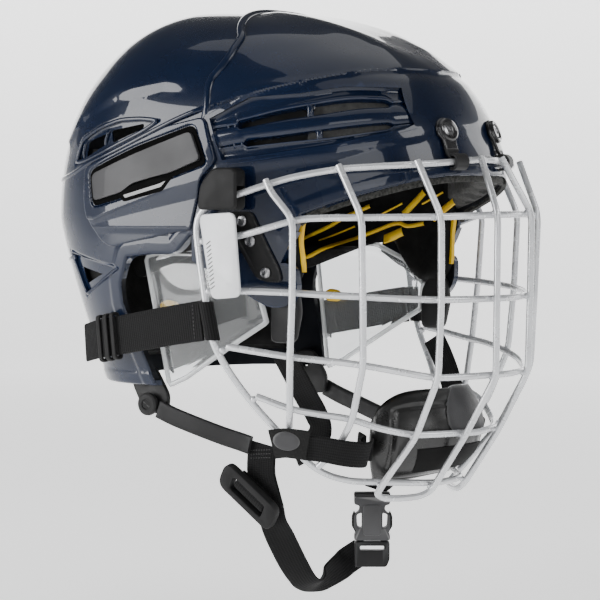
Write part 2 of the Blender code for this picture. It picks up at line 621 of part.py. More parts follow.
# Each moving piece turns or slides about an empty on its joint: (x, y, z) of the empty and the pieces it carries.
PIVOTS = {
    "cage_hinge_axis": ((0, -121.6, 80.3), ("cage_", "upright", "wire_cover", "chin_cup", "snap_button")),
    "rear_shell_track": ((0, 0, 110), ("rear_", "occipital", "liner_rear", "adjuster_arm", "strap_pivot")),
    "left_lever_axis": ((104.5, 38, 88.8), ("left_adjuster_lever",)),
    "right_lever_axis": ((-104.5, 38, 88.8), ("right_adjuster_lever",)),
    "left_side_strap_axis": ((108, -12.5, -6.8), ("left_elastic_strap", "left_strap_slider")),
    "right_side_strap_axis": ((-108, -12.5, -6.8), ("right_elastic_strap", "right_strap_slider")),
    "buckle_track": ((BUCKLE_AXIS_X, BUCKLE_AXIS_Y, BUCKLE_SPLIT_Z), ("buckle_plug", "lower_strap")),
}
PARTS = None
CUTTERS = None
PIVOT_AT = {"left": PIVOT, "right": (-PIVOT[0], PIVOT[1], PIVOT[2])}


def hang_on_pivots():
    for name, (place, carried) in PIVOTS.items():
        empty = bpy.data.objects.new(name, None)
        empty.empty_display_size = 0.02
        PARTS.objects.link(empty)
        empty.location = Vector(place) * MM
        to_empty = Matrix.Translation(-Vector(place) * MM)
        for obj in PARTS.objects:
            if obj.type != "EMPTY" and any(word in obj.name for word in carried):
                obj.parent = empty
                obj.matrix_parent_inverse = to_empty


def main():
    global PARTS, CUTTERS
    clear_scene()
    PARTS = new_collection("hockey_helmet_with_cage")
    CUTTERS = new_collection("cutters")
    CUTTERS.hide_render = True
    build_shells()
    build_liner()
    build_ear_guards()
    build_adjusters()
    build_side_clips()
    build_forehead_clips()
    build_cage()
    build_chin_cup()
    build_elastic_straps()
    build_harness()
    build_buckle()
    hang_on_pivots()


main()
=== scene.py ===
"""The looks of an ice hockey helmet with a wire face cage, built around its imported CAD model.

Tables are in millimetres in the model's frame: +X the wearer's left, -Y the way the wearer faces, +Z up.
"""

import math

import bmesh
import bpy
import numpy as np
from mathutils import Matrix, Vector


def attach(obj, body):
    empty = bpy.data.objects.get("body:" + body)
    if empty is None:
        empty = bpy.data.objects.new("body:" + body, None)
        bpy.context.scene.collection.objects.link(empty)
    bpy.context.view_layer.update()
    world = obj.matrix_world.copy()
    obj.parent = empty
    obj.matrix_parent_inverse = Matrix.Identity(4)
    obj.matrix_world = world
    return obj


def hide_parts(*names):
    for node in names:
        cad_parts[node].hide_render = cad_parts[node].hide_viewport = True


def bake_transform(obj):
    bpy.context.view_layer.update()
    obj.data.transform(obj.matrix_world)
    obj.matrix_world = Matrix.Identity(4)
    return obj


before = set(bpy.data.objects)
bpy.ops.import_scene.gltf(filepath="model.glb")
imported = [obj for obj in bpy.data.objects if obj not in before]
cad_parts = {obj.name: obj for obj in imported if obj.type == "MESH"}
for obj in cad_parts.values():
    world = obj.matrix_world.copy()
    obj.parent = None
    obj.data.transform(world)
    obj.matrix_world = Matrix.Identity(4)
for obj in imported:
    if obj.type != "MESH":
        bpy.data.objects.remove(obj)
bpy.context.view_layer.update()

MM = 0.001
SIDES = (("left", 1), ("right", -1))

# How often a skin is made finer, and how far a face may stray from flat. A patch starts this much over its outline.
FINE_PASSES, FLAT_ENOUGH, PATCH_MARGIN = (3), 0.02, 1.0

# The shell, as in the CAD model. Outlines are (y, z) in the side view, and lines in space are (x, y, z).
HALF_WIDTH, FRONT_REACH, REAR_REACH = 104.2, 168.0, 95.0
CENTRE_Y, WIDEST_Z, CROWN_RISE, NECK_Z = 44.9, 49.6, 119.5, -46.0
PLAN_POWER, WIDTH_POWER, FRONT_POWER, REAR_POWER = 2.45, 2.62, 2.4, 1.95
NECK_NARROWING, NECK_SHORTENING = 16.0, 34.0
SHELL_WALL, LAP_DEPTH, LAP_LENGTH, FLUSH_LENGTH = 2.4, 3.2, 12.0, 48.0

SEAM = [(16, 190), (15, 169), (-5, 149), (-4, 136), (2, 124), (-1, 110), (2, 60), (4, 26)]
EAR_FRONT = [(-6, 20), (-19, 15.5), (-30, 6), (-42, 0), (-52, 2), (-57, 10), (-56, 26)]
BROW_EDGE = [(-55.5, 40), (-60.5, 51.4), (-75, 57), (-89, 62), (-107, 68.5), (-118, 72.4), (-160, 76)]
EAR_REAR = [(-6, 45), (4, 40), (15, 29), (32, 29), (48, 27), (54.5, 12), (54.5, 1), (45, -25), (38, NECK_Z)]
BAND_LEVELS = [
    [(-13.5, 79.5), (-32, 81.5), (-54, 85), (-76, 88.6), (-94, 93.5), (-107.5, 99.5)],
    [(-12.8, 86.5), (-30.5, 89), (-52, 91.4), (-72, 93.6), (-90, 96.8), (-107, 101.4)],
    [(-12, 90), (-30, 92.6), (-50, 95), (-70, 98), (-88, 100.8), (-106.3, 103)],
    [(-7.5, 96.5), (-24.5, 98.8), (-46, 103.2), (-64, 106), (-84, 109.9), (-102.5, 111.2)],
    [(-6.3, 99.8), (-25.5, 103.5), (-44, 108.2), (-63, 112), (-80, 114.8), (-100.5, 114.2)],
    [(-3, 104.5), (-26, 116), (-40, 117.6), (-54, 118.8), (-74.6, 122), (-96, 121.6)],
]
BAND_OPEN = {1: ((-98.5, -27.5),), 3: ((-95, -22.5),)}
REAR_VENTS = [
    [(82, 92.3), (67.6, 96.5), (66, 90.5), (83, 83.3)],
    [(63, 98.3), (40, 102), (39.6, 99.3), (61, 91.3)],
    [(90, 20.7), (70.2, 17), (86.9, 10.8)],
]
REAR_RECESS = [
    (28.5, 103.7), (41.8, 105), (56, 104.5), (71.6, 100.5), (87.6, 93.3), (91.7, 80.2), (80, 82), (60, 89),
    (38, 98),
]
LOWER_RECESS = [(101.6, 29.5), (55.2, 21.1), (87.6, 4.2)]
FRONT_RIDGE = [
    (101, 0, 110), (97, -14, 113), (88, -26, 116), (76, -51, 122.6), (58, -72, 127.7), (33, -86, 130.5),
    (0, -92, 130.5),
]
CROWN_RIDGE = [(20, 14, 167), (22, 1, 165.4), (27, -39, 156.8), (26, -52, 152), (24, -68, 145)]
REAR_FOLD = [(0, 122), (30, 124), (62, 118), (90, 106), (104, 92)]
BAND = [
    (-3, 104), (-14, 80), (-32, 82), (-76, 88.6), (-105, 97.4), (-107.6, 100.3), (-96, 121.6), (-74.6, 122),
    (-52.7, 118), (-26, 116),
]


def lerp(a, b, t):
    return tuple(p + (q - p) * t for p, q in zip(a, b))


def along(points, t):
    place = min(max(t, 0.0), 1.0) * (len(points) - 1)
    index = min(int(place), len(points) - 2)
    return lerp(points[index], points[index + 1], place - index)


def smooth_path(points, step, closed=False):
    """Points about step apart on a Catmull-Rom curve through the given ones."""
    ends = [Vector(p) for p in points]
    count = len(ends)
    opened = [ends[0] * 2 - ends[1], *ends, ends[-1] * 2 - ends[-2]]
    padded = [ends[-1], *ends, ends[0], ends[1]] if closed else opened
    path = []
    for i in range(count if closed else count - 1):
        p0, p1, p2, p3 = padded[i : i + 4]
        pieces = max(1, round((p2 - p1).length / step))
        for k in range(pieces):
            t = k / pieces
            bend, twist = 2 * p0 - 5 * p1 + 4 * p2 - p3, 3 * p1 - p0 - 3 * p2 + p3
            path.append(0.5 * (2 * p1 + (p2 - p0) * t + bend * t**2 + twist * t**3))
    return path if closed else [*path, ends[-1]]


def corner(before, at, after, reach, steps):
    """Points of a curve that cuts the corner at this place, from reach before it to reach after it."""
    start = at + (before - at).normalized() * reach
    end = at + (after - at).normalized() * reach
    shares = [k / steps for k in range(steps + 1)]
    return [start * (1 - t) ** 2 + at * 2 * t * (1 - t) + end * t**2 for t in shares]


def smooth_bends(points, radius=6.0):
    """The path with each bend made round."""
    corners = [Vector(p) for p in points]
    path = [corners[0]]
    for before, at, after in zip(corners, corners[1:], corners[2:]):
        reach = min(radius, (at - before).length / 2.2, (after - at).length / 2.2)
        path += corner(before, at, after, reach, 6)
    return [*path, corners[-1]]


def mirrored(points, side):
    return [(side * x, y, z) for x, y, z in points]


# Materials. Each is built from nodes only.


def new_material(name):
    made = bpy.data.materials.new(name)
    made.use_nodes = True
    tree = made.node_tree
    return made, tree, tree.nodes["Principled BSDF"]


def node(tree, kind, **values):
    made = tree.nodes.new(kind)
    for key, value in values.items():
        if key in made.inputs:
            made.inputs[key].default_value = value
        else:
            setattr(made, key, value)
    return made


def noise(tree, scale, detail=3.0, roughness=0.55):
    place = node(tree, "ShaderNodeTexCoord")
    made = node(tree, "ShaderNodeTexNoise", Scale=scale, Detail=detail, Roughness=roughness)
    tree.links.new(place.outputs["Object"], made.inputs["Vector"])
    return made.outputs["Fac"]


def ranged(tree, value, low, high, from_low=0.35, from_high=0.65):
    made = node(tree, "ShaderNodeMapRange")
    for key, number in (("From Min", from_low), ("From Max", from_high), ("To Min", low), ("To Max", high)):
        made.inputs[key].default_value = number
    tree.links.new(value, made.inputs["Value"])
    return made.outputs["Result"]


def mixed(tree, factor, first, second):
    """A mix of two colours, each a value or the output of a node."""
    made = node(tree, "ShaderNodeMix", data_type="RGBA")
    tree.links.new(factor, made.inputs[0])
    for socket, colour in ((made.inputs[6], first), (made.inputs[7], second)):
        if isinstance(colour, tuple):
            socket.default_value = (*colour, 1.0)
        else:
            tree.links.new(colour, socket)
    return made.outputs[2]


def bumped(tree, shader, height, strength, distance):
    made = node(tree, "ShaderNodeBump", Strength=strength, Distance=distance)
    tree.links.new(height, made.inputs["Height"])
    tree.links.new(made.outputs["Normal"], shader.inputs["Normal"])


def set_inputs(shader, values):
    for key, value in values.items():
        shader.inputs[key].default_value = value


def plastic(
    name, dark, light, rough, *, grain=(900.0, 0.15, 0.0002), metal=0.0, coat=0.0, coat_rough=0.03,
    specular=0.5, patch=35.0, sheen=0.0, edge_wear_and_highlight=None, coat_ior=1.5,
):
    """Moulded or painted stuff: two close colours in soft patches, uneven gloss, a fine surface grain and, if asked,
    lighter convex edges that are partly wear and partly painted highlight.
    """
    made, tree, shader = new_material(name)
    colour = mixed(tree, ranged(tree, noise(tree, patch), 0.0, 1.0), dark, light)
    # Convex edges, found by pointiness, take a lighter colour: partly wear, partly a painted edge highlight.
    if edge_wear_and_highlight:
        edge = node(tree, "ShaderNodeNewGeometry")
        worn_and_lit_edges = ranged(tree, edge.outputs["Pointiness"], 0.0, 1.0, 0.53, 0.62)
        colour = mixed(tree, worn_and_lit_edges, colour, edge_wear_and_highlight)
    tree.links.new(colour, shader.inputs["Base Color"])
    tree.links.new(ranged(tree, noise(tree, patch * 3.1, 5.0), *rough), shader.inputs["Roughness"])
    bumped(tree, shader, noise(tree, grain[0], 4.0), grain[1], grain[2])
    set_inputs(shader, {
        "Metallic": metal, "Coat Weight": coat, "Coat Roughness": coat_rough, "Coat IOR": coat_ior,
        "Specular IOR Level": specular, "Sheen Weight": sheen,
    })
    return made


def woven(name, dark, light, pitch_along, pitch_across, strength=0.6, rib=0.5):
    """Webbing, laid out on a UV map in metres: warp ribs along it and weft picks across."""
    made, tree, shader = new_material(name)
    place = node(tree, "ShaderNodeUVMap", uv_map="flat")
    weave = node(tree, "ShaderNodeMix", data_type="FLOAT")
    weave.inputs[0].default_value = rib
    for direction, pitch, socket in (("X", pitch_along, 2), ("Y", pitch_across, 3)):
        scale = 2 * math.pi / (20 * pitch * MM)
        wave = node(tree, "ShaderNodeTexWave", bands_direction=direction, Scale=scale)
        set_inputs(wave, {"Distortion": 0.6, "Detail": 1.0})
        tree.links.new(place.outputs["UV"], wave.inputs["Vector"])
        tree.links.new(wave.outputs["Fac"], weave.inputs[socket])
    total = node(tree, "ShaderNodeMath", operation="MULTIPLY_ADD")
    tree.links.new(noise(tree, 2500.0, 2.0), total.inputs[0])
    total.inputs[1].default_value = 0.35
    tree.links.new(weave.outputs[0], total.inputs[2])
    tree.links.new(mixed(tree, total.outputs[0], dark, light), shader.inputs["Base Color"])
    set_inputs(shader, {
        "Roughness": 0.82, "Specular IOR Level": 0.12, "Sheen Weight": 0.03, "Sheen Roughness": 0.5,
    })
    bumped(tree, shader, total.outputs[0], strength, 0.0003)
    return made


def clear(name, through=0.92, rough=(0.02, 0.10)):
    """See-through plastic, slightly wavy."""
    made, tree, shader = new_material(name)
    set_inputs(shader, {
        "Base Color": (0.93, 0.95, 0.96, 1.0), "Transmission Weight": through, "IOR": 1.28, "Coat Weight": 0.6,
    })
    tree.links.new(ranged(tree, noise(tree, 30.0), *rough), shader.inputs["Roughness"])
    bumped(tree, shader, noise(tree, 60.0, 2.0), 0.06, 0.0006)
    return made


def make_materials():
    # The wear colours below go on convex edges: partly real wear, partly a painted edge highlight.
    return {
        "navy": plastic("navy_gloss", (0.0030, 0.0078, 0.0235), (0.0038, 0.0095, 0.0285), (0.22, 0.32),
            grain=(260.0, 0.02,
            0.0003), coat=1.0, coat_rough=0.03, coat_ior=1.39, specular=0.12, patch=9.0, edge_wear_and_highlight=(0.012, 0.022, 0.055)),
        "shell_inside": plastic("shell_inside", (0.006, 0.007, 0.010), (0.010, 0.011, 0.014), (0.40, 0.6),
            specular=0.15),
        "black": plastic("black_moulded", (0.006, 0.006, 0.0065), (0.010, 0.010, 0.0105), (0.38, 0.52),
            grain=(1500.0, 0.25, 0.0002), specular=0.25, edge_wear_and_highlight=(0.03, 0.03, 0.031)),
        "groove": plastic("groove_black", (0.002, 0.002, 0.002), (0.004, 0.004, 0.004), (0.6, 0.75),
            specular=0.02),
        "black_gloss": plastic("black_gloss", (0.006, 0.006, 0.007), (0.010, 0.010, 0.011), (0.12, 0.22),
            coat=0.6, edge_wear_and_highlight=(0.03, 0.03, 0.032)),
        "dark_grey": plastic("dark_grey_moulded", (0.008, 0.008, 0.0083), (0.013, 0.013, 0.0133), (0.46, 0.6),
            grain=(1200.0, 0.4, 0.0002), specular=0.14, edge_wear_and_highlight=(0.05, 0.05, 0.05)),
        "buckle_grey": plastic("buckle_grey", (0.028, 0.028, 0.030), (0.040, 0.040, 0.043), (0.42, 0.56),
            grain=(1300.0, 0.45, 0.00025), edge_wear_and_highlight=(0.14, 0.14, 0.14)),
        "badge_grey": plastic("badge_grey", (0.020, 0.020, 0.0215), (0.048, 0.048, 0.051), (0.38, 0.50),
            metal=0.1, coat=0.1, specular=0.25, patch=14.0, grain=(600.0, 0.05, 0.0002)),
        "wire": plastic("white_wire", (0.60, 0.61, 0.63), (0.70, 0.71, 0.73), (0.18, 0.30), metal=0.5, coat=0.4,
            coat_rough=0.1, patch=55.0, grain=(700.0, 0.08, 0.0002)),
        "label": plastic("white_plate", (0.60, 0.61, 0.63), (0.72, 0.73, 0.75), (0.26, 0.38), coat=0.5,
            patch=40.0, grain=(500.0, 0.08, 0.0002)),
        "print": plastic("hatch_ink", (0.012, 0.012, 0.013), (0.022, 0.022, 0.023), (0.4, 0.5)),
        "eva": plastic("eva_foam", (0.018, 0.018, 0.018), (0.040, 0.040, 0.038), (0.6, 0.8),
            grain=(700.0, 0.7, 0.0005), patch=180.0, sheen=0.1),
        "liner": plastic("black_liner", (0.004, 0.004, 0.004), (0.010, 0.010, 0.010), (0.55, 0.75), specular=0.1,
            grain=(900.0, 0.6, 0.0004), patch=60.0),
        "yellow": plastic("yellow_foam", (0.78, 0.46, 0.010), (0.92, 0.60, 0.016), (0.45, 0.65),
            grain=(900.0, 0.4, 0.0003), patch=60.0),
        "cup": plastic("cup_skin", (0.008, 0.008, 0.0079), (0.015, 0.015, 0.0147), (0.24, 0.38),
            grain=(1100.0, 0.30, 0.0003), patch=40.0, coat=0.25, coat_rough=0.2),
        "steel": plastic("screw_steel", (0.30, 0.30, 0.31), (0.46, 0.46, 0.47), (0.18, 0.34), metal=1.0,
            grain=(1600.0, 0.2, 0.0001)),
        "webbing": woven("black_webbing", (0.0022, 0.0022, 0.0022), (0.013, 0.013, 0.0135), 1.1, 1.6),
        "elastic": woven("ribbed_elastic", (0.0025, 0.0025, 0.0025), (0.015, 0.015, 0.0155), 1.5, 0.9, 0.8,
            0.35),
        "binding": woven("woven_binding", (0.005, 0.005, 0.005), (0.020, 0.020, 0.020), 0.8, 0.8),
        "clear": clear("clear_polycarbonate"),
        # A whitish, less clear plastic for the guards' rims: a painted highlight along their edges.
        "clear_highlight_edge": clear("clear_highlight_edge", 0.55, (0.10, 0.22)),
        "stitch": plastic("thread", (0.020, 0.020, 0.020), (0.035, 0.035, 0.035), (0.6, 0.8)),
        "edge_foam": plastic("edge_foam", (0.010, 0.010, 0.0095), (0.052, 0.052, 0.048), (0.6, 0.8),
            grain=(700.0, 0.9, 0.0006), patch=650.0, specular=0.2),
    }


MAT = make_materials()

# Objects.


def finished(obj, finish, body, replaces=(), inside=()):
    """Gives a piece its looks and body and hides the nodes it stands for. A tuple as body leaves it unattached, with
    its transform applied.
    """
    obj.data.materials.clear()
    for name in (finish, *inside):
        obj.data.materials.append(MAT[name])
    if isinstance(body, tuple):
        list(body)
        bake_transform(obj)
    else:
        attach(obj, body)
    if replaces:
        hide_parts(*replaces)
    return obj


def linked(name, data):
    obj = bpy.data.objects.new(name, data)
    bpy.context.scene.collection.objects.link(obj)
    return obj


def shaded(mesh, angle):
    mesh.shade_smooth()
    mesh.set_sharp_from_angle(angle=math.radians(angle))


def settled(obj, angle=38.0):
    """Applies every modifier and shades the result smooth up to this angle."""
    bpy.context.view_layer.update()
    mesh = bpy.data.meshes.new_from_object(obj.evaluated_get(bpy.context.evaluated_depsgraph_get()))
    if obj.type == "CURVE":
        name = obj.name
        bpy.data.objects.remove(obj)
        obj = linked(name, mesh)
    obj.modifiers.clear()
    obj.data = mesh
    shaded(mesh, angle)
    return obj


def as_object(bm, name, angle=38.0):
    bmesh.ops.recalc_face_normals(bm, faces=bm.faces)
    mesh = bpy.data.meshes.new(name)
    bm.to_mesh(mesh)
    bm.free()
    shaded(mesh, angle)
    return linked(name, mesh)


def bevelled(obj, width, segments=2, angle=35.0, smooth=40.0):
    """Rounds the edges sharper than angle and applies it."""
    made = obj.modifiers.new("Edges", "BEVEL")
    made.width = width * MM
    made.segments = segments
    made.limit_method = "ANGLE"
    made.angle_limit = math.radians(angle)
    return settled(obj, smooth)


def cut(obj, cutter, operation="DIFFERENCE", solver="MANIFOLD"):
    made = obj.modifiers.new(operation, "BOOLEAN")
    made.operation = operation
    made.solver = solver
    made.object = cutter
    settled(obj)
    bpy.data.objects.remove(cutter)
    return obj


def rounded(outline, radius, steps=5):
    """The outline with its corners rounded."""
    points = [Vector((*p, 0)) for p in outline]
    result = []
    for i, at in enumerate(points):
        before, after = points[i - 1], points[(i + 1) % len(points)]
        reach = min(radius, (at - before).length * 0.45, (after - at).length * 0.45)
        result += [tuple(place.xy) for place in corner(before, at, after, reach, steps)]
    return result


def extruded(bm, faces, reach):
    """Draws faces out by reach, in metres, leaving the first ones as the far side."""
    moved = bmesh.ops.extrude_face_region(bm, geom=faces)["geom"]
    bmesh.ops.translate(bm, vec=reach, verts=[v for v in moved if isinstance(v, bmesh.types.BMVert)])


def prism(outlines, x_low=-150.0, x_high=150.0):
    """A cutter with these side-view outlines, from x_low to x_high."""
    bm = bmesh.new()
    for outline in outlines:
        face = bm.faces.new([bm.verts.new((x_low * MM, y * MM, z * MM)) for y, z in outline])
        extruded(bm, [face], ((x_high - x_low) * MM, 0, 0))
    bmesh.ops.triangulate(bm, faces=bm.faces[:])
    return as_object(bm, "cutter")


def section(z, offset=0.0):
    """Half width, front reach and rear reach of the shell at heights z, offset outwards. Works on arrays."""
    z = np.asarray(z, float)
    rise = np.clip((z - WIDEST_Z) / (CROWN_RISE + offset), 0.0, 1.0)
    drop = np.clip((WIDEST_Z - z) / (WIDEST_Z - NECK_Z), 0.0, 1.2)
    width = (HALF_WIDTH + offset) * (1 - rise**WIDTH_POWER) ** (1 / WIDTH_POWER) - NECK_NARROWING * drop**1.5
    front = (FRONT_REACH + offset) * (1 - rise**FRONT_POWER) ** (1 / FRONT_POWER)
    rear = (REAR_REACH + offset) * (1 - rise**REAR_POWER) ** (1 / REAR_POWER) - NECK_SHORTENING * drop**1.15
    return width, front, rear


def plan_rest(share):
    """How much of one axis of the shell's plan is left at this share of the other."""
    return (1 - np.clip(share, 0.0, 1.0) ** PLAN_POWER) ** (1 / PLAN_POWER)


def side_x(y, z, offset=0.0):
    width, front, rear = section(z, offset)
    y = np.asarray(y, float)
    return width * plan_rest(np.abs(y - CENTRE_Y) / np.where(y > CENTRE_Y, rear, front))


def front_y(x, z):
    width, front, _ = section(z)
    return CENTRE_Y - front * plan_rest(np.abs(x) / width)


def rear_y(x, z):
    width, _, rear = section(z)
    return CENTRE_Y + rear * plan_rest(np.abs(x) / width)


def seam_y(z):
    heights, places = zip(*((b, a) for a, b in reversed(SEAM)))
    return np.interp(z, heights, places)


def to_outline(y, z, outline, closed=True):
    """Distance to a side-view outline, negative inside it if it is closed."""
    y, z = np.asarray(y, float), np.asarray(z, float)
    nearest = np.full(y.shape, 1e9)
    inside = np.zeros(y.shape, bool)
    ends = outline if closed else outline[1:]
    starts = [outline[-1], *outline[:-1]] if closed else outline[:-1]
    for (y0, z0), (y1, z1) in zip(starts, ends):
        dy, dz = y1 - y0, z1 - z0
        t = np.clip(((y - y0) * dy + (z - z0) * dz) / max(dy * dy + dz * dz, 1e-9), 0.0, 1.0)
        nearest = np.minimum(nearest, np.hypot(y - y0 - t * dy, z - z0 - t * dz))
        if closed:
            crosses = (z0 > z) != (z1 > z)
            inside ^= crosses & (y < y0 + dy * (z - z0) / (dz if abs(dz) > 1e-9 else 1e-9))
    return np.where(inside, -nearest, nearest)


def from_line(points, line):
    """Distance from each point to a line in space, with x counted as its size, and the way from the line to it."""
    best, way = np.full(points.shape[:-1], 1e9), np.zeros(points.shape)
    folded = np.array(points)
    folded[..., 0] = np.abs(folded[..., 0])
    for a, b in zip(line, line[1:]):
        a, b = np.array(a, float), np.array(b, float)
        step = b - a
        t = np.clip(((folded - a) @ step) / (step @ step), 0.0, 1.0)
        away = folded - a - t[..., None] * step
        distance = np.linalg.norm(away, axis=-1)
        closer = distance < best
        best = np.where(closer, distance, best)
        way = np.where(closer[..., None], away, way)
    return best, way


def ease(value, low, high):
    """0 below low, 1 above high, smooth between."""
    t = np.clip((value - low) / (high - low), 0.0, 1.0)
    return t * t * (3 - 2 * t)


def roll(distance, radius):
    """How far a rounded edge of this radius drops at this distance inside it."""
    t = np.clip(1 - distance / radius, 0.0, 1.0)
    return radius * (1 - np.sqrt(1 - t * t))


def lap_offset(y, z):
    return -LAP_DEPTH * (1 - np.clip((y - seam_y(z) - 8.0) / FLUSH_LENGTH, 0.0, 1.0))


def place_on_shell(turn, height, shift):
    """Points on the shell offset by shift. height is 1 at the crown, 0 at the widest level and -1 at the neck."""
    top = WIDEST_Z + CROWN_RISE + shift
    above = WIDEST_Z + np.sin(height * math.pi / 2) * (CROWN_RISE + shift)
    z = np.where(height > 0, above, WIDEST_Z + height * (WIDEST_Z - NECK_Z))
    width, front, rear = section(np.minimum(z, top), shift)
    c, s = np.cos(turn), np.sin(turn)
    x = width * np.sign(c) * np.abs(c) ** (2 / PLAN_POWER)
    y = CENTRE_Y + np.where(s > 0, rear, front) * np.sign(s) * np.abs(s) ** (2 / PLAN_POWER)
    return np.stack([x, y, z], axis=-1)


def outline_turns():
    """Turn against the share of the way round the shell's plan, starting at the back."""
    turn = np.linspace(math.pi / 2, 2.5 * math.pi, 40001)
    points = place_on_shell(turn, np.zeros_like(turn), np.zeros_like(turn))
    step = np.linalg.norm(np.diff(points, axis=0), axis=1)
    return np.concatenate([[0.0], np.cumsum(step)]) / step.sum(), turn


ROUND_SHARE, ROUND_TURN = outline_turns()


def plain_points(share, height):
    turn = np.interp(share, ROUND_SHARE, ROUND_TURN)
    return place_on_shell(turn, height, np.zeros_like(turn))


def shell_points(share, height, field):
    turn = np.interp(share, ROUND_SHARE, ROUND_TURN)
    return place_on_shell(turn, height, field(plain_points(share, height)))


def two_layers(bm, firsts, seconds, wraps=False):
    """Two grids of vertices with their faces, the outer at z = 0 and the inner at z = 1."""
    layers = [[[bm.verts.new((a, b, layer)) for b in seconds] for a in firsts] for layer in (0, 1)]
    for layer, grid in enumerate(layers):
        turn = 1 if layer == 0 else -1
        for column, after in zip(grid, grid[1:] + grid[:1] if wraps else grid[1:]):
            for j in range(len(seconds) - 1):
                bm.faces.new((column[j], column[j + 1], after[j + 1], after[j])[::turn])
        if wraps:
            bm.faces.new([column[0] for column in grid[::turn]])
    return layers


def refined(bm, value_at, passes, widest=math.inf):
    """Splits the outer faces, up to widest, on which the value strays from flat."""
    t = np.linspace(0, 1, 5)
    for _ in range(passes):
        faces = [f for f in bm.faces if len(f.verts) < 9 and all(v.co.z < 0.5 for v in f.verts)]
        places = [np.array([v.co[:2] for v in f.verts]) for f in faces]
        low, high = (np.array([pick(at, axis=0) for at in places])[..., None, None] for pick in (np.min, np.max))
        size = high - low
        first = low[:, 0] + size[:, 0] * t[None, :, None] + 0 * t[None, None, :]
        second = low[:, 1] + size[:, 1] * t[None, None, :] + 0 * t[None, :, None]
        value = value_at(first, second)
        bend = np.maximum(*(np.abs(np.diff(value, 2, axis=k)).max(axis=(1, 2)) for k in (1, 2)))
        chosen = (bend > FLAT_ENOUGH) & (size[:, 0, 0, 0] <= widest)
        edges = {e for f, much in zip(faces, chosen) if much for e in f.edges}
        bmesh.ops.subdivide_edges(bm, edges=list(edges), cuts=1, use_grid_fill=True)


def placed(bm, name, place_of):
    """The object whose vertices are where place_of(first, second, whether outer) puts those of the grid."""
    bm.verts.ensure_lookup_table()
    flat = np.array([v.co[:] for v in bm.verts])
    places = place_of(flat[:, 0], flat[:, 1], flat[:, 2] < 0.5) * MM
    for vert, place in zip(bm.verts, places.tolist()):
        vert.co = place
    bmesh.ops.triangulate(bm, faces=[f for f in bm.faces if len(f.verts) > 4])
    return as_object(bm, name)


def shell_solid(name, outer, inner, columns=200, rows=84, passes=0):
    """A closed dome between two offset fields of points on the plain shell, finer where the outer one bends."""
    bm = bmesh.new()
    shares = [i / columns for i in range(columns)]
    near, far = two_layers(bm, shares, np.linspace(0.9995, -1.0, rows), wraps=True)
    for i in range(columns):
        k = (i + 1) % columns
        bm.faces.new((near[i][-1], far[i][-1], far[k][-1], near[k][-1]))
    refined(bm, lambda share, height: outer(plain_points(share, height)), passes, widest=0.4)

    def place_of(share, height, is_outer):
        above, below = (shell_points(share, height, field) for field in (outer, inner))
        return np.where(is_outer[:, None], above, below)

    return placed(bm, name, place_of)


def shell_normal(point):
    """Outward direction of the plain shell near a point."""
    def level(x, y, z):
        width, front, rear = (float(v) for v in section(z))
        reach = rear if y > CENTRE_Y else front
        return abs(x / width) ** PLAN_POWER + abs((y - CENTRE_Y) / reach) ** PLAN_POWER

    x, y, z = point
    at = (x, y, min(z, WIDEST_Z + CROWN_RISE - 1.5))
    slopes = []
    for axis in range(3):
        ahead, behind = ([c + (step if k == axis else 0.0) for k, c in enumerate(at)] for step in (0.2, -0.2))
        slopes.append(level(*ahead) - level(*behind))
    return Vector(slopes).normalized()


def top_z(x, y):
    """Height of the shell above a point of the plan."""
    low, high = WIDEST_Z, WIDEST_Z + CROWN_RISE
    for _ in range(40):
        middle = (low + high) / 2
        if float(side_x(y, middle)) > abs(x):
            low = middle
        else:
            high = middle
    return low


def rail(name, path, width, height, body, sink, lift=0.0, step=2.0, closed=False, finish="navy"):
    """A rounded rib lying on the shell along a path of points on it."""
    centre = smooth_path(path, step, closed)
    count = len(centre)
    profile = [(math.cos(a), math.sin(a)) for a in np.linspace(0, math.pi, 9)]
    rows = []
    for i, at in enumerate(centre):
        ends = (i + 1) % count, i - 1
        after, before = ends if closed else (min(i + 1, count - 1), max(i - 1, 0))
        forward = (centre[after] - centre[before]).normalized()
        across = forward.cross(shell_normal(at)).normalized()
        normal = across.cross(forward).normalized()
        taper = 1.0 if closed else min(1.0, 0.15 + min(i, count - 1 - i) / 3.0)
        row = [at + across * (width / 2 * a) + normal * (lift + height * taper * b) for a, b in profile]
        row += [at + across * (width / 2 * a) - normal * sink for a in (-0.8, 0.8)]
        rows.append(row)
    if closed:
        rows.append(rows[0])
    obj = loft(name, rows, closed_rows=True, caps=not closed, angle=50)
    return finished(obj, finish, body)


def on_side(points, sign, lift=0.0):
    """Side-view points placed on the shell."""
    return [(sign * (float(side_x(y, z)) + lift), y, z) for y, z in points]


def patch(name, outline, side, outer, inner, step=3.0, radius=0.0, passes=0):
    """A piece of the shell's side within an outline, between two offsets: numbers or functions of y and z."""
    trim = rounded(outline, radius) if radius else outline
    low, high = np.min(trim, axis=0) - PATCH_MARGIN, np.max(trim, axis=0) + PATCH_MARGIN
    across, up = (max(2, int(n)) for n in (high - low) / step)
    bm = bmesh.new()
    near, far = two_layers(bm, np.linspace(low[0], high[0], across + 1), np.linspace(low[1], high[1], up + 1))
    rim = [(i, 0) for i in range(across)] + [(across, j) for j in range(up)]
    rim += [(i, up) for i in range(across, 0, -1)] + [(0, j) for j in range(up, 0, -1)]
    for (i, j), (k, m) in zip(rim, rim[1:] + rim[:1]):
        bm.faces.new((near[i][j], near[k][m], far[k][m], far[i][j]))
    above, below = (field if callable(field) else lambda y, z, value=field: np.full(y.shape, float(value))
                    for field in (outer, inner))
    refined(bm, above, passes)

    def place_of(y, z, is_outer):
        offset = np.where(is_outer, above(y, z), below(y, z))
        return np.stack([side * (side_x(y, z) + offset), y, z], axis=-1)

    return cut(placed(bm, name, place_of), prism([trim]), "INTERSECT")


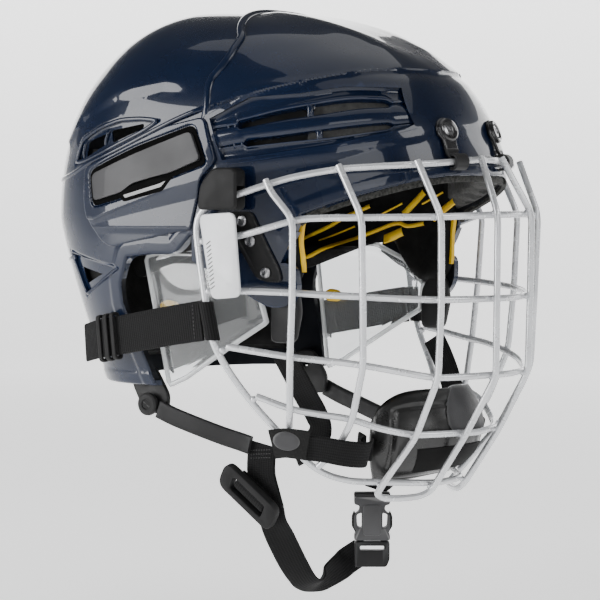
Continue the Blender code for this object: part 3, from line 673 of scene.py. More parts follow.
def loft(name, rows, closed_rows=False, caps=True, uv=None, angle=38.0):
    """A skin over rows of points. With uv, each loop gets a flat coordinate in metres from uv(i, j)."""
    bm = bmesh.new()
    grid = [[bm.verts.new(Vector(p) * MM) for p in row] for row in rows]
    layer = bm.loops.layers.uv.new("flat") if uv else None
    width = len(rows[0])
    for i in range(len(rows) - 1):
        for j in range(width if closed_rows else width - 1):
            k = (j + 1) % width
            face = bm.faces.new((grid[i][j], grid[i + 1][j], grid[i + 1][k], grid[i][k]))
            if uv:
                for loop, (a, b) in zip(face.loops, ((i, j), (i + 1, j), (i + 1, j + 1), (i, j + 1))):
                    loop[layer].uv = uv(a, b)
    if closed_rows and caps:
        bm.faces.new(grid[0])
        bm.faces.new(list(reversed(grid[-1])))
    return as_object(bm, name, angle)


def two_skins(name, across, up, point, angle):
    """A closed piece between the skins point(u, v, 0) and point(u, v, 1)."""
    rows = []
    for i in range(across + 1):
        first, second = ([point(i / across, j / up, skin) for j in range(up + 1)] for skin in (0, 1))
        rows.append(first + second[::-1])
    return loft(name, rows, closed_rows=True, angle=angle)


def strap(name, path, faces, width, thickness, finish, body, replaces=(), step=3.0, selvedge=1.0):
    """Webbing along a path; faces is the way its flat side looks, at even shares of the path."""
    centre = smooth_path(path, step)
    last = len(centre) - 1
    half_shape = [(0.5, 1.0), (0.88, 1.0), (0.97, 0.75), (1, 0.0)]
    shape = [(-a, b) for a, b in half_shape[::-1]] + [(0, 1.0)] + half_shape
    ring = shape + [(a, -b) for a, b in shape[-2:0:-1]]
    lengths = [0.0]
    for a, b in zip(centre, centre[1:]):
        lengths.append(lengths[-1] + (b - a).length)
    rows = []
    for i, at in enumerate(centre):
        forward = (centre[min(i + 1, last)] - centre[max(i - 1, 0)]).normalized()
        across = forward.cross(Vector(along(faces, i / last))).normalized()
        normal = across.cross(forward).normalized()
        row = []
        for a, b in ring:
            lift = thickness / 2 * b * (selvedge if abs(a) > 0.8 else 1.0)
            row.append(at + across * (a * width * 0.5) + normal * lift)
        rows.append(row)

    def flat(i, j):
        return lengths[i] * MM, (ring[j % len(ring)][0] + 1) * width / 2 * MM

    return finished(loft(name, rows, closed_rows=True, uv=flat, angle=60), finish, body, replaces)


def stitches(name, start, end, normal, count, body):
    """A row of thread stitches between two points."""
    bm = bmesh.new()
    a, b = Vector(start), Vector(end)
    forward = (b - a).normalized()
    up = Vector(normal).normalized()
    frame_of = Matrix((forward, up.cross(forward), up)).transposed().to_4x4()
    stitch = Matrix.Diagonal((1.6 * MM, 0.5 * MM, 0.3 * MM, 1))
    for k in range(count):
        at = a.lerp(b, (k + 0.5) / count) + up * 0.35
        place = Matrix.Translation(at * MM) @ frame_of @ stitch
        bmesh.ops.create_icosphere(bm, subdivisions=1, radius=0.5, matrix=place)
    return finished(as_object(bm, name), "stitch", body)


def turned(
    name, profile, centre, normal, finish, body, replaces=(), segments=40, angle=30.0, squash=1.0,
    up=(0.3, 0.2, 1.0),
):
    """A piece turned about its axis: profile is (radius, height) from the middle of the back round to the front."""
    turns = [2 * math.pi * k / segments for k in range(segments)]
    rows = [[(r * math.cos(a), squash * r * math.sin(a), height) for a in turns] for r, height in profile]
    obj = loft(name, rows, closed_rows=True, angle=angle)
    z = Vector(normal).normalized()
    x = Vector(up)
    x = (x - z * z.dot(x)).normalized()
    turn = Matrix((x, z.cross(x), z)).transposed().to_4x4()
    obj.matrix_world = Matrix.Translation(Vector(centre) * MM) @ turn
    return finished(obj, finish, body, replaces)


def plate(name, outline, depth, matrix, finish, body, replaces=(), bevel=0.5, segments=2, holes=()):
    """A flat outline in x and y with holes, depth thick about its middle, placed by matrix."""
    bm = bmesh.new()
    edges = []
    for loop in (outline, *holes):
        verts = [bm.verts.new((x * MM, y * MM, -depth / 2 * MM)) for x, y in loop]
        edges += [bm.edges.new((verts[i - 1], verts[i])) for i in range(len(verts))]
    bmesh.ops.triangle_fill(bm, use_beauty=True, use_dissolve=True, edges=edges)
    extruded(bm, bm.faces[:], (0, 0, depth * MM))
    obj = bevelled(as_object(bm, name, 30), bevel, segments, 40)
    obj.matrix_world = matrix
    return finished(obj, finish, body, replaces)


def basis(centre, forward, upward):
    """Matrix whose z runs along forward and whose y is the part of upward square to it."""
    z = Vector(forward).normalized()
    y = (Vector(upward) - z * z.dot(Vector(upward))).normalized()
    return Matrix.Translation(Vector(centre) * MM) @ Matrix((y.cross(z), y, z)).transposed().to_4x4()


def beside(sign, x):
    """Matrix that stands a side-view outline up at x on one side."""
    turn = Matrix(((0, 0, sign, 0), (1, 0, 0, 0), (0, 1, 0, 0), (0, 0, 0, 1)))
    return Matrix.Translation((sign * x * MM, 0, 0)) @ turn


def ellipse(rx, ry, count=36, cx=0.0, cy=0.0):
    turns = [2 * math.pi * k / count for k in range(count)]
    return [(cx + rx * math.cos(a), cy + ry * math.sin(a)) for a in turns]


def rounded_box(width, height, radius, cx=0.0, cy=0.0):
    w, h = width / 2, height / 2
    return rounded([(cx - w, cy - h), (cx + w, cy - h), (cx + w, cy + h), (cx - w, cy + h)], radius)


# Shell.


def side_of_line(points, line):
    """Signed distance to a line on the shell, positive above it."""
    distance, way = from_line(points, line)
    return distance * np.sign(way[..., 2] + 0.6 * way[..., 1])


def fold(signed, height, crisp, reach):
    """A crease: climbs over crisp below the line and dies away over reach above it."""
    return height * ease(signed, -crisp, crisp * 0.35) * (1 - ease(signed, 0.0, reach))


def front_relief(points):
    y, z = points[..., 1], points[..., 2]
    before_seam = seam_y(z) - y
    ends = ease(before_seam, 0, 14)
    depth = fold(side_of_line(points, FRONT_RIDGE), 1.7, 3.6, 30.0) * (0.35 + 0.65 * ends)
    depth += 1.3 * np.exp(-((from_line(points, CROWN_RIDGE)[0] / 11.0) ** 2)) * ends
    depth -= roll(np.maximum(before_seam, 0), 1.6) * (z > 40)
    brow = to_outline(y, z, BROW_EDGE, closed=False)
    depth -= roll(brow, 1.6)
    depth += 0.45 * ease(-brow, -8.5, -5.5)
    depth += 0.9 * ease(-to_outline(y, z, BAND), -9.0, -2.5)
    return np.minimum(depth, 2.6)


def rear_lap(y, z):
    """The rear shell dips a little towards the seam, and dives under the front shell."""
    behind = y - seam_y(z)
    return -0.9 * (1 - ease(behind, 1.0, 40.0)) - 2.4 * (1 - ease(behind, -4.0, -0.5))


def rear_relief(points):
    x, y, z = points[..., 0], points[..., 1], points[..., 2]
    depth = rear_lap(y, z)
    for outline, deep in ((REAR_RECESS, 2.2), (LOWER_RECESS, 2.0)):
        depth -= deep * ease(-to_outline(y, z, outline), -1.6, 1.6)
    ear = to_outline(y, z, EAR_REAR[1:], closed=False)
    depth += 0.9 * ease(-ear, -10.0, -6.5)
    depth -= roll(ear, 1.5)
    depth += 1.2 * ease(-np.abs(np.abs(x) - 36), -9.0, 0.0) * ease(y, 60, 95) * ease(z, 10, 50)
    hem = z - NECK_Z
    depth += 0.7 * ease(-hem, -9.0, -5.5)
    depth -= roll(np.maximum(hem, 0), 1.5)
    upper = to_outline(y, z, REAR_FOLD, closed=False)
    above = np.where(z > np.interp(y, *zip(*REAR_FOLD)), upper, -upper)
    depth += fold(above, 1.1, 4.5, 34.0) * ease(y - seam_y(z), 6, 24)
    return depth


def blacken_inside(obj):
    """Gives the faces that look into the head space the second material."""
    middle = Vector((0, 0.02, 0.03))
    inward = []
    for polygon in obj.data.polygons:
        away = polygon.center - middle
        inward.append(int(polygon.normal.dot(away) < -0.25 * away.length))
    obj.data.polygons.foreach_set("material_index", inward)


def build_shells():
    def front_inner(points):
        return np.full(points.shape[:-1], -SHELL_WALL - 2.0)

    def rear_inner(points):
        y, z = points[..., 1], points[..., 2]
        return np.minimum(rear_lap(y, z), lap_offset(y, z)) - SHELL_WALL - 0.8

    front = shell_solid("front_shell_skin", front_relief, front_inner, passes=FINE_PASSES)
    outline = [*SEAM, *rounded(EAR_FRONT, 9)[3:], *rounded(BROW_EDGE[:3], 3), *BROW_EDGE[3:], (-160, 190)]
    cut(front, prism([outline]), "INTERSECT")
    middle = np.mean(BAND, axis=0)
    cut(front, prism([[tuple(middle + (np.array(p) - middle) * 0.955) for p in BAND]]))
    rear = shell_solid("rear_shell_skin", rear_relief, rear_inner, passes=FINE_PASSES)
    lapped = [(y - LAP_LENGTH, z) for y, z in SEAM[:-1]]
    ear_edge = rounded(EAR_REAR, 6)[3:-3]
    cut(rear, prism([[*lapped, *ear_edge, (38, NECK_Z), (160, NECK_Z), (160, 190)]]), "INTERSECT")
    cut(rear, prism([rounded(vent, 1.2) for vent in REAR_VENTS]))
    for shell, body, node_name in ((front, "helmet", "front_shell"), (rear, "rear", "rear_shell")):
        finished(shell, "navy", body, (node_name,), inside=("shell_inside",))
        blacken_inside(shell)


# Rows of the band panel from its upper edge down: the two levels that a row lies between, the share of the way
# from one to the other, a shift along that way, and the height over the shell. SLOT_DEPTH marks the slots' walls.
SLOT_DEPTH = -6.5
BAND_ROWS = [
    (0, 1, 0, -3.4, -1.2), (0, 1, 0, -3.0, 0.0), (0, 1, 0, -2.2, 0.75), (0, 1, 0, -1.0, 1.0),
    (0, 1, 0, 0.2, 0.7), (0, 1, 0, 1.2, -0.4), (0, 1, 0, 2.2, -1.5), (0, 1, 0, 3.4, -2.1),
    (0, 1, 0.66, 0, -2.2), (1, 2, 0, -1.5, -1.9), (1, 2, 0, -0.9, -1.3), (1, 2, 0, -0.3, -1.2),
    (1, 2, 0, 0, -1.6), (1, 2, 0, 0.1, -3.0), (1, 2, 0, 0.15, SLOT_DEPTH), (1, 2, 1, -0.15, SLOT_DEPTH),
    (1, 2, 1, -0.1, -3.0), (1, 2, 1, 0, -1.5), (2, 3, 0, 0.4, -0.9), (2, 3, 0.3, 0, -0.25),
    (2, 3, 0.55, 0, -0.1), (2, 3, 0.8, 0, -0.5), (2, 3, 1, -0.4, -1.2), (3, 4, 0, 0, -1.8),
    (3, 4, 0, 0.1, -3.2), (3, 4, 0, 0.15, SLOT_DEPTH), (3, 4, 1, -0.15, SLOT_DEPTH), (3, 4, 1, -0.1, -3.0),
    (3, 4, 1, 0, -1.5), (4, 5, 0, 0.5, -0.8), (4, 5, 0, 1.4, -0.7), (4, 5, 0, 2.4, -1.2), (4, 5, 0.45, 0, -1.7),
    (4, 5, 0.7, 0, -1.6), (4, 5, 1, -2.4, -1.2), (4, 5, 1, -1.2, -0.3), (4, 5, 1, 0, 0.7), (4, 5, 1, 1.0, 1.0),
    (4, 5, 1, 2.2, 0.7), (4, 5, 1, 3.2, 0.0), (4, 5, 1, 3.6, -1.2),
]
# Bridges over the slots: the level above, y and width. Linings that show through the slots: route and width.
BAND_BRIDGES = [
    (3, -60.4, 3.6), (3, -20.5, 1.6), (3, -16.5, 1.6), (1, -66.8, 3.6), (1, -26.0, 1.6), (1, -21.5, 1.6),
]
BAND_LININGS = [
    ([(-70, 94), (-84, 99), (-97, 103)], 5.2), ([(-38, 88), (-48, 93.5)], 4.0),
    ([(-72, 107), (-82, 112), (-90, 118)], 4.4),
]


def openness(y, spans):
    """1 in the middle of a slot, easing to 0 at its round ends."""
    best = 0.0
    for low, high in spans:
        inside = min(y - low, high - y)
        if inside > 0:
            best = max(best, math.sqrt(1 - (1 - min(inside / 2.4, 1.0)) ** 2))
    return best


def band_panel(side, sign, levels):
    """The sunk panel, drawn as a skin with gaps for the two slots and then given a wall."""
    count = len(levels[0])
    rows, holes = [], set()
    for i in range(count):
        at = [Vector(level[i][:2]) for level in levels]
        end = min(i, count - 1 - i) / (count - 1)
        for k, spans in BAND_OPEN.items():
            share = openness(at[k].x, spans)
            middle = (at[k] + at[k + 1]) / 2
            at[k : k + 2] = [middle.lerp(edge, 0.12 + 0.88 * share) for edge in at[k : k + 2]]
            if share > 0.25:
                holes.add((i, k))
        rise = ease(end, 0.0, 0.022)
        row = []
        for a, b, t, shift, deep in BAND_ROWS:
            spot = at[a].lerp(at[b], t) + (at[b] - at[a]).normalized() * shift
            if deep < -2.5 and (i, a) not in holes:
                deep = -2.2
            deep = deep * rise + (0.8 * (1 - rise) if end > 0.004 else -1.2)
            base = Vector((float(side_x(spot.x, spot.y)), spot.x, spot.y))
            place = base + shell_normal(base) * float(deep)
            row.append((sign * place.x, place.y, place.z))
        rows.append(row)
    bm = bmesh.new()
    grid = [[bm.verts.new(Vector(p) * MM) for p in row] for row in rows]
    walls = [j for j, spec in enumerate(BAND_ROWS) if spec[4] == SLOT_DEPTH]
    for i in range(count - 1):
        for j in range(len(BAND_ROWS) - 1):
            level = 1 if j == walls[0] else 3 if j == walls[2] else None
            if level and (i, level) in holes and (i + 1, level) in holes:
                continue
            bm.faces.new((grid[i][j], grid[i + 1][j], grid[i + 1][j + 1], grid[i][j + 1]))
    panel = as_object(bm, f"{side}_vent_band", 60)
    solid = panel.modifiers.new("Wall", "SOLIDIFY")
    solid.thickness = 0.9 * MM
    solid.offset = -1
    finished(settled(panel, 60), "navy", "helmet")


def build_band_panels():
    """The vent band on each side of the front shell: a sunk panel with two slots over a blade."""
    count = 150
    levels = []
    for line in BAND_LEVELS:
        path = smooth_path([(y, z, 0) for y, z in line], 0.6)
        levels.append([along([tuple(p) for p in path], i / (count - 1)) for i in range(count)])
    for side, sign in SIDES:
        band_panel(side, sign, levels)
        for k, (low, y, width) in enumerate(BAND_BRIDGES):
            i = min(range(count), key=lambda i: abs(levels[low][i][0] - y))
            a, b = (Vector((*levels[level][i][:2], 0)) for level in (low, low + 1))
            a, b = a + (a - b).normalized() * 0.8, b + (b - a).normalized() * 0.8
            path = [tuple(a.lerp(b, t))[:2] for t in (0, 0.25, 0.5, 0.75, 1)]
            rail(f"{side}_vent_bridge_{k}", on_side(path, sign, -2.4), width, 1.5, "helmet", 3.0, step=0.8)
        for k, (line, width) in enumerate(BAND_LININGS):
            points = on_side(line, sign, -9.5)
            faces = [(sign, -0.3, 0.3)] * 2
            strap(f"{side}_band_lining_{k}", points, faces, width, 1.2, "yellow", "helmet", step=2.5)


# How far the lip lies in front of the seam.
SEAM_LIP_LEAD = 1.2


def build_seam_lip():
    """The front shell's raised edge along the seam, over the top from side to side."""
    heights = (104, 109, 114, 120, 126, 132, 138, 144, 150)
    half = [(float(side_x(seam_y(z), z)), float(seam_y(z)) - SEAM_LIP_LEAD, z) for z in heights]
    for x in np.linspace(half[-1][0] - 6, 0, 14):
        y = 15.0
        for _ in range(6):
            z = top_z(x, y)
            y = float(seam_y(z)) - SEAM_LIP_LEAD
        half.append((float(x), y, z))
    rail("seam_lip", mirrored(half, -1) + half[-2::-1], 5.0, 2.0, "helmet", 2.5, -0.2)


def on_back(points):
    """Points of the rear view placed on the shell."""
    return [(x, float(rear_y(x, z)), z) for x, z in points]


def seated(points, closed=False):
    """The smooth line through points, dropped onto the shell."""
    line = []
    for p in smooth_path(points, 4.0, closed):
        width, front, rear = (float(value) for value in section(p.z))
        reach = rear if p.y > CENTRE_Y else front
        share = (abs(p.x / width) ** PLAN_POWER + abs((p.y - CENTRE_Y) / reach) ** PLAN_POWER) ** (1 / PLAN_POWER)
        line.append((p.x / share, CENTRE_Y + (p.y - CENTRE_Y) / share, p.z))
    return line


def build_back_ribs():
    """Raised lines across the back: the arm line carried round, the lower line, a panel and the neck hem."""
    def rib(name, side, back, width, height, sink, lift):
        half = on_side(side, 1) + on_back(back)
        rail(name, seated(half + mirrored(half[::-1], -1)), width, height, "rear", sink, lift)

    arm_line = [(0.5, 110.3), (20, 102.6), (53.4, 88.4), (77, 80.4), (99, 73)]
    rib("arm_line_rib", arm_line, [(56, 69.0), (34, 66.0), (12, 64.5)], 3.0, 1.2, 1.2, -0.3)
    rib("back_lower_rib", [(97, 26)], [(60, 22), (44, 14), (24, 9), (8, 8)], 2.8, 1.2, 1.2, -0.3)
    panel = rounded([(-25, 56), (25, 56), (31, 40), (20, 17), (-20, 17), (-31, 40)], 5, 4)
    rail("back_panel_rib", seated(on_back(panel), True), 2.8, 1.1, "rear", 1.4, -0.4, closed=True)
    hem_z = NECK_Z + 1.6
    hem_side = [(y, hem_z) for y in (41, 52, 64, 76)]
    hem_back = [(x, hem_z) for x in (58, 44, 28, 10)]
    rib("neck_hem", hem_side, hem_back, 3.0, 1.0, 1.4, -0.5)


def build_brow_edge():
    """The foam that shows below the front shell's edge."""
    ys, zs = zip(*reversed(BROW_EDGE))

    def under_edge(y):
        return float(np.interp(y, ys, zs)) - 1.2

    half = []
    for y in (-59.0, -66.0, -75.0, -84.0, -93.0, -102.0, -109.0, -114.5):
        half.append((float(side_x(y, under_edge(y))) - 1.9, y, under_edge(y)))
    for x in (42.0, 30.0, 16.0, 0.0):
        y = float(front_y(x, 72.0)) + 1.9
        half.append((x, y, under_edge(y)))
    path = half + mirrored(half[-2::-1], -1)
    rail("brow_edge_foam", path, 4.2, 0.9, "helmet", 2.2, finish="edge_foam")


def build_shell_ribs():
    """Rims round the recesses of the rear shell's sides, and bridges over their slots."""
    for side, sign in SIDES:
        upper = on_side(rounded(REAR_RECESS, 4, 3), sign)
        lower = on_side(rounded(LOWER_RECESS, 3, 3), sign)
        rail(f"{side}_rear_vent_rib", upper, 2.6, 1.1, "rear", 1.5, -0.5, closed=True)
        rail(f"{side}_lower_vent_rib", lower, 2.4, 1.0, "rear", 1.5, -0.5, closed=True)
        for k, (a, b) in enumerate((((64.5, 99.2), (66.8, 90.2)), ((84.5, 93), (85.5, 83)))):
            line = on_side([a, lerp(a, b, 0.5), b], sign, -2.0)
            rail(f"{side}_rear_vent_bridge_{k}", line, 2.0, 1.4, "rear", 2.0, step=1.0)


ARM = [
    (3, 42.5), (-1.5, 59.5), (-4, 71), (-13.2, 80.2), (-3.2, 105.2), (20, 100.4), (53.4, 86.6), (79, 77.6),
    (78.6, 56), (75.4, 46), (66.7, 35.8), (59.2, 32.4), (26, 39), (10, 42),
]
LEVER = [(2.4, 101), (-7.8, 79.2), (28, 67.5), (50, 60), (70.8, 55.4), (73.7, 75.6), (40, 89)]
LEVER_FACE = [
    (-4.6, 81.6), (3.2, 97.2), (40, 84.8), (70.6, 73.6), (68.6, 58.6), (48, 63.6), (40.5, 68.6), (27, 71.8),
    (14, 74.6),
]
LEVER_NOTCH = [(52.5, 63.4), (46.5, 58.2), (20, 64.2), (13.5, 72.0), (24, 71.2), (41, 67.0)]
LEVER_GRIP = [(46.5, 62.0), (45.2, 60.4), (20.4, 66.6), (17.2, 70.0), (22.0, 68.2), (40, 63.6)]


def build_arms():
    def outer(y, z):
        plateau = ease(z - np.interp(y, (-4, 71, 80), (70.5, 47.5, 47.5)), 0.0, 1.2)
        chamfer = np.clip((z - np.interp(y, (-2.5, 71, 80), (60.5, 45.6, 45.6))) / 9.5, 0.0, 1.0)
        offset = 0.9 + 0.5 * ease(z, 40, 44) + 1.7 * np.maximum(chamfer, plateau)
        offset -= 1.1 * ease(-to_outline(y, z, rounded(LEVER, 4)), -1.4, -0.4)
        return offset - roll(np.maximum(-to_outline(y, z, rounded(ARM, 4)), 0), 0.7)

    for side, sign in SIDES:
        arm = patch(f"{side}_arm_cover", ARM, sign, outer, 0.15, radius=4.0, passes=FINE_PASSES)
        finished(arm, "navy", "rear", (f"{side}_adjuster_arm",))
        lever = f"{side}_lever"
        border = bevelled(patch(f"{lever}_border", LEVER, sign, 2.5, 1.6, 1.5, radius=4.5), 0.4)
        finished(border, "groove", lever, (f"{side}_adjuster_lever",))
        face = bevelled(patch(f"{lever}_face", rounded(LEVER_FACE, 3.2), sign, 4.4, 2.4, 1.5), 0.6, 3)
        finished(face, "badge_grey", lever)
        finished(patch(f"{lever}_notch", rounded(LEVER_NOTCH, 1.2), sign, 3.4, 2.4, 1.2), "groove", lever)
        grip = patch(f"{lever}_grip", rounded(LEVER_GRIP, 0.6), sign, 3.9, 2.4, 1.2)
        finished(grip, "black_gloss", lever)


# Lining.


# Each pad of the lining: its name, the node it stands for, body, finish, slot, outer and inner offset from the
# shell, how far in from its edge it is rounded, grid and side-view outline.
PADS = [
    (
        "brow_band", "brow_pad", "helmet", "eva", "black_foam", -4.2, -15.5, 7.0, ((240,
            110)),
        [
            (-58, 53.5), (-76, 58.5), (-90, 63.5), (-108, 70), (-119, 73.8), (-140, 76), (-140, 121),
            (-86, 121), (-60, 112),
        ],
    ),
    (
        "crown_pad_front", "crown_liner_front", "helmet", "liner", "black_foam", -4.2, -15.2, 9.0, (120, 60),
        [(-4, 190), (-4, 172), (-19, 154), (-19, 128), (-60, 116), (-84, 124), (-84, 190)],
    ),
    (
        "crown_pad_rear", "crown_liner_rear", "rear", "liner", "black_foam", -5.0, -16.0, 9.0, (120, 60),
        [(36, 190), (36, 158), (14, 144), (14, 128), (70, 116), (118, 96), (160, 96), (160, 190)],
    ),
    (
        "nape_pad", "occipital_pad", "rear", "liner", "yellow_foam", -5.0, -14.0, 8.0, (120, 60),
        [(64, -36), (64, 88), (160, 88), (160, -36)],
    ),
]
SIDE_PAD = [
    (-59, 108), (-59, 60), (-55, 44), (-56, 18), (-49, 9), (-36, 8), (-24, 14), (-14, 26), (-9, 34), (9, 30),
    (30, 22.5), (54, 14), (62, 30), (60, 60), (44, 98), (-16, 110),
]


def pad_back(outline, outer, inner, reach):
    """The inner field of a pad that is rounded off within reach of its outline."""
    def field(points):
        edge = -to_outline(points[..., 1], points[..., 2], outline)
        return outer - (outer - inner) * np.sqrt(1 - np.clip(1 - np.maximum(edge, 0) / reach, 0, 1) ** 2) - 0.6

    return field


def pad_dip(y, z):
    """How much further in the side pad lies at its low rear end."""
    return 9.0 * ease(-z, -36, -28) * ease(y, -12, -2)


def build_lining():
    for name, stands_for, body, finish, slot, outer, inner, reach, grid, outline in PADS:
        def front(points, offset=outer):
            return np.full(points.shape[:-1], offset)

        pad = shell_solid(name, front, pad_back(outline, outer, inner, reach), *grid)
        cut(pad, prism([outline]), "INTERSECT")
        finished(pad, finish, body, (stands_for,))
    side_pad = rounded(SIDE_PAD, 5)

    def inside(y, z):
        edge = -to_outline(y, z, side_pad)
        return -7.6 - 8.0 * np.sqrt(1 - np.clip(1 - np.maximum(edge, 0) / 6.0, 0, 1) ** 2) - pad_dip(y, z)

    for side, sign in SIDES:
        pad = patch(f"{side}_side_pad", side_pad, sign, lambda y, z: -6.6 - pad_dip(y, z), inside, 2.0)
        finished(pad, "liner", "helmet", (f"{side}_temple_pad",))
        build_yellow_lines(side, sign)


YELLOW = {
    "outline": ([
        (6.4, 54.7), (25.4, 47.6), (37, 41.8), (50, 36.4), (54.6, 33.6), (54.6, 29.5), (51.6, 24.4),
        (46.5, 22.8), (33.5, 28.5), (7.3, 37.5), (-14, 44.1), (-23, 42.5), (-36.7, 44.3),
    ], 1.35),
    "slant_rear": ([(-19.8, 49.8), (-36.7, 63.4)], 2.2),
    "slant_front": ([(-44, 47), (-50.9, 51.7), (-62, 58)], 2.2),
    "under_pad": ([(-6, 34.2), (-19.5, 39.2)], 2.9),
    "line_rear": ([(42.2, 33), (17.5, 42)], 0.6),
    "line_middle": ([(-0.8, 49), (-19.1, 56.5)], 0.6),
    "line_front": ([(-35, 56.1), (-52.8, 63.4)], 0.6),
}


def build_yellow_lines(side, sign):
    """Yellow ribs on the side pad, and the strip along its front edge."""
    for name, (line, half) in YELLOW.items():
        path = smooth_path([(y, z, 0) for y, z in line], 2.5)
        rows = []
        for i, at in enumerate(path):
            forward = (path[min(i + 1, len(path) - 1)] - path[max(i - 1, 0)]).normalized()
            row = []
            for share, lift in ((-1, -0.6), (-0.8, 0.5), (0, 0.9), (0.8, 0.5), (1, -0.6)):
                y, z = at.x - forward.y * half * share, at.y + forward.x * half * share
                x = float(side_x(y, z)) - 15.9 - float(pad_dip(y, z)) - lift
                row.append((sign * x, y, z))
            rows.append(row)
        finished(loft(f"{side}_{name}", rows, angle=60), "yellow", "helmet")
    edge = [(-56.4, 20), (-56.4, 27), (-55.8, 36), (-56.8, 45), (-58, 50)]
    rail(f"{side}_pad_edge", on_side(edge, sign, -8.2), 3.4, 1.0, "helmet", 1.6, finish="yellow")


def build_ear_guards():
    """Clear guards over the ears: a bulging pane with a stepped edge, a whitish rim tube round it as a painted
    highlight, and a yellow tab.
    """
    top = [(-32, 8), (-18, 22), (2, 31), (26, 32), (46, 27)]
    bottom = [(-33, -8), (-14, -19), (6, -31), (22, -41), (34, -46)]

    def spread(u, v):
        return lerp(along(bottom, u), along(top, u), v)

    rim = [(u, 0.0) for u in np.linspace(0.02, 0.98, 30)] + [(1.0, v) for v in np.linspace(0.03, 0.97, 16)]
    rim += [(1 - u, 1 - v) for u, v in rim]
    tab = rounded([(26, -5.0), (26, 1.8), (34, 3.0), (38.5, 0.0), (36, -5.0)], 2.8)
    turns = np.linspace(0, 2 * math.pi, 10, endpoint=False)
    for side, sign in SIDES:
        def point(u, v, skin):
            bulge = 2.5 * math.sin(math.pi * u) * math.sin(math.pi * v)
            ledge = 1.6 * float(ease(min(u, 1 - u, v, 1 - v), 0.07, 0.12)) - 0.8
            return sign * (83.0 + 6.0 * v + bulge + ledge + (1.0, -1.0)[skin] - 0.4), *spread(u, v)

        pane = two_skins(f"{side}_clear_guard", 48, 40, point, 50)
        finished(pane, "clear", "helmet", (f"{side}_ear_guard",))
        # A tube round the pane's edge in the whitish clear plastic: a painted highlight where the edge catches
        # light.
        places = [Vector((sign * (81.8 + 6.0 * v), *spread(u, v))) for u, v in rim]
        rows = []
        for k, at in enumerate(places):
            forward = (places[(k + 1) % len(places)] - places[k - 1]).normalized()
            outward = forward.cross(Vector((1, 0, 0))).normalized()
            rows.append([at + outward * (1.5 * math.cos(a)) + Vector((1.7 * math.sin(a), 0, 0)) for a in turns])
        highlight_rim = loft(f"{side}_guard_highlight_rim", rows + rows[:1], closed_rows=True, caps=False, angle=60)
        finished(highlight_rim, "clear_highlight_edge", "helmet")
        plate(f"{side}_ear_tab", tab, 3.2, beside(sign, 84.0), "yellow", "helmet", bevel=1.2, segments=3)


# Cage.

# Two wires touch where their middles come this near.
WIRE_RADIUS, TOUCHING = 1.9, 5.4
RIM = [
    (0, -123.6, 81.6), (10.9, -123.4, 81.4), (33, -119.6, 80), (55, -110.6, 78.6), (71, -97, 77.5),
    (84, -80.6, 75.9), (95, -61, 72), (101, -46.9, 67.8), (106, -35.7, 63.8), (108.2, -22, 59.5),
    (108.5, -9.5, 54), (108.5, -5, 45), (108.5, -6.5, 30), (108.5, -9, 15), (108, -12.5, -5), (107, -17, -22),
    (100, -31, -46), (85, -47, -71), (70, -57, -88), (55, -67, -95.6), (40, -80, -97.5), (18, -98, -99),
    (0, -101, -99.5),
]
BARS = {
    "upper": [
        (0, -140.6, 51.3), (18.6, -138.7, 51.2), (36, -133, 50.9), (52.7, -124.4, 50.5), (69, -111, 50.4),
        (83, -94.9, 50.2), (92, -79, 50), (98.8, -63, 48.5), (106.2, -34, 40.5), (107, -12, 37.5),
    ],
    "middle": [
        (0, -140.2, 5.2), (18.2, -138.3, 5.4), (36, -132, 5.5), (51, -123.5, 5.7), (68, -110, 6.6),
        (80.5, -94.3, 7.7), (90, -78, 8.6), (96.8, -61.3, 9.5), (106, -35, 10.3), (107, -15.5, 9.5),
    ],
    "lower": [
        (0, -139, -37), (17.7, -137.3, -36.7), (35, -130.5, -36.8), (50.4, -121.3, -36.5), (65.5, -108.5, -33),
        (77, -92.3, -29.5), (88, -75, -27), (94.8, -58.5, -25.3), (101.5, -38, -22.5), (105, -23, -20.5),
    ],
    "chin": [
        (0, -120.5, -70.5), (18.2, -118.9, -69.7), (33, -112, -69.5), (45.4, -104.5, -69), (60, -93, -65),
        (71.5, -81.5, -59.8), (82, -69, -57), (91, -55.8, -54), (98, -37.5, -47.5),
    ],
}
UPRIGHTS = {
    "outer": [
        (105.1, -48.6, 70.5), (105.2, -52, 64), (102.8, -64.5, 49.4), (100.7, -62.8, 9.5), (98.7, -60, -25.3),
        (95, -57.4, -54), (90.4, -53.8, -64),
    ],
    "middle": [
        (87.3, -83.6, 78.4), (86.3, -97.8, 50.3), (83.8, -97, 7.7), (80.3, -95.1, -29.6), (74.7, -84.4, -60),
        (71.3, -72.5, -77), (73, -61, -87),
    ],
    "loop": [
        (57.2, -114.6, 81), (54.9, -128.4, 50.6), (52.9, -127.4, 5.7), (52.4, -125.3, -36.7),
        (47.5, -108.3, -70.2), (43.5, -87, -95), (41, -79, -104.5), (36, -80.5, -107), (28, -88, -107.5),
        (21, -95.5, -106.5), (18.2, -101, -103), (18.8, -123.3, -70.2), (18.3, -141.9, -37), (19, -142.7, 5.4),
        (19.3, -143.3, 51.4), (11.4, -128, 83),
    ],
}


def wire(name, points, replaces, closed=False):
    """A round wire along the points, its open ends rounded off."""
    curve = bpy.data.curves.new(name, "CURVE")
    curve.dimensions = "3D"
    curve.bevel_depth = WIRE_RADIUS * MM
    curve.bevel_resolution = 6
    curve.use_fill_caps = not closed
    spline = curve.splines.new("POLY")
    spline.points.add(len(points) - 1)
    for point, place in zip(spline.points, points):
        point.co = (*(Vector(place) * MM), 1.0)
    spline.use_cyclic_u = closed
    obj = settled(linked(name, curve), 50)
    if not closed:
        bm = bmesh.new()
        bm.from_mesh(obj.data)
        bmesh.ops.remove_doubles(bm, verts=bm.verts, dist=1e-6)
        bm.to_mesh(obj.data)
        bm.free()
        bevelled(obj, 0.6, 3, 60, 50)
    return finished(obj, "wire", "cage", replaces)


def nearest_on(path, point):
    return min(path, key=lambda p: (p - point).length)


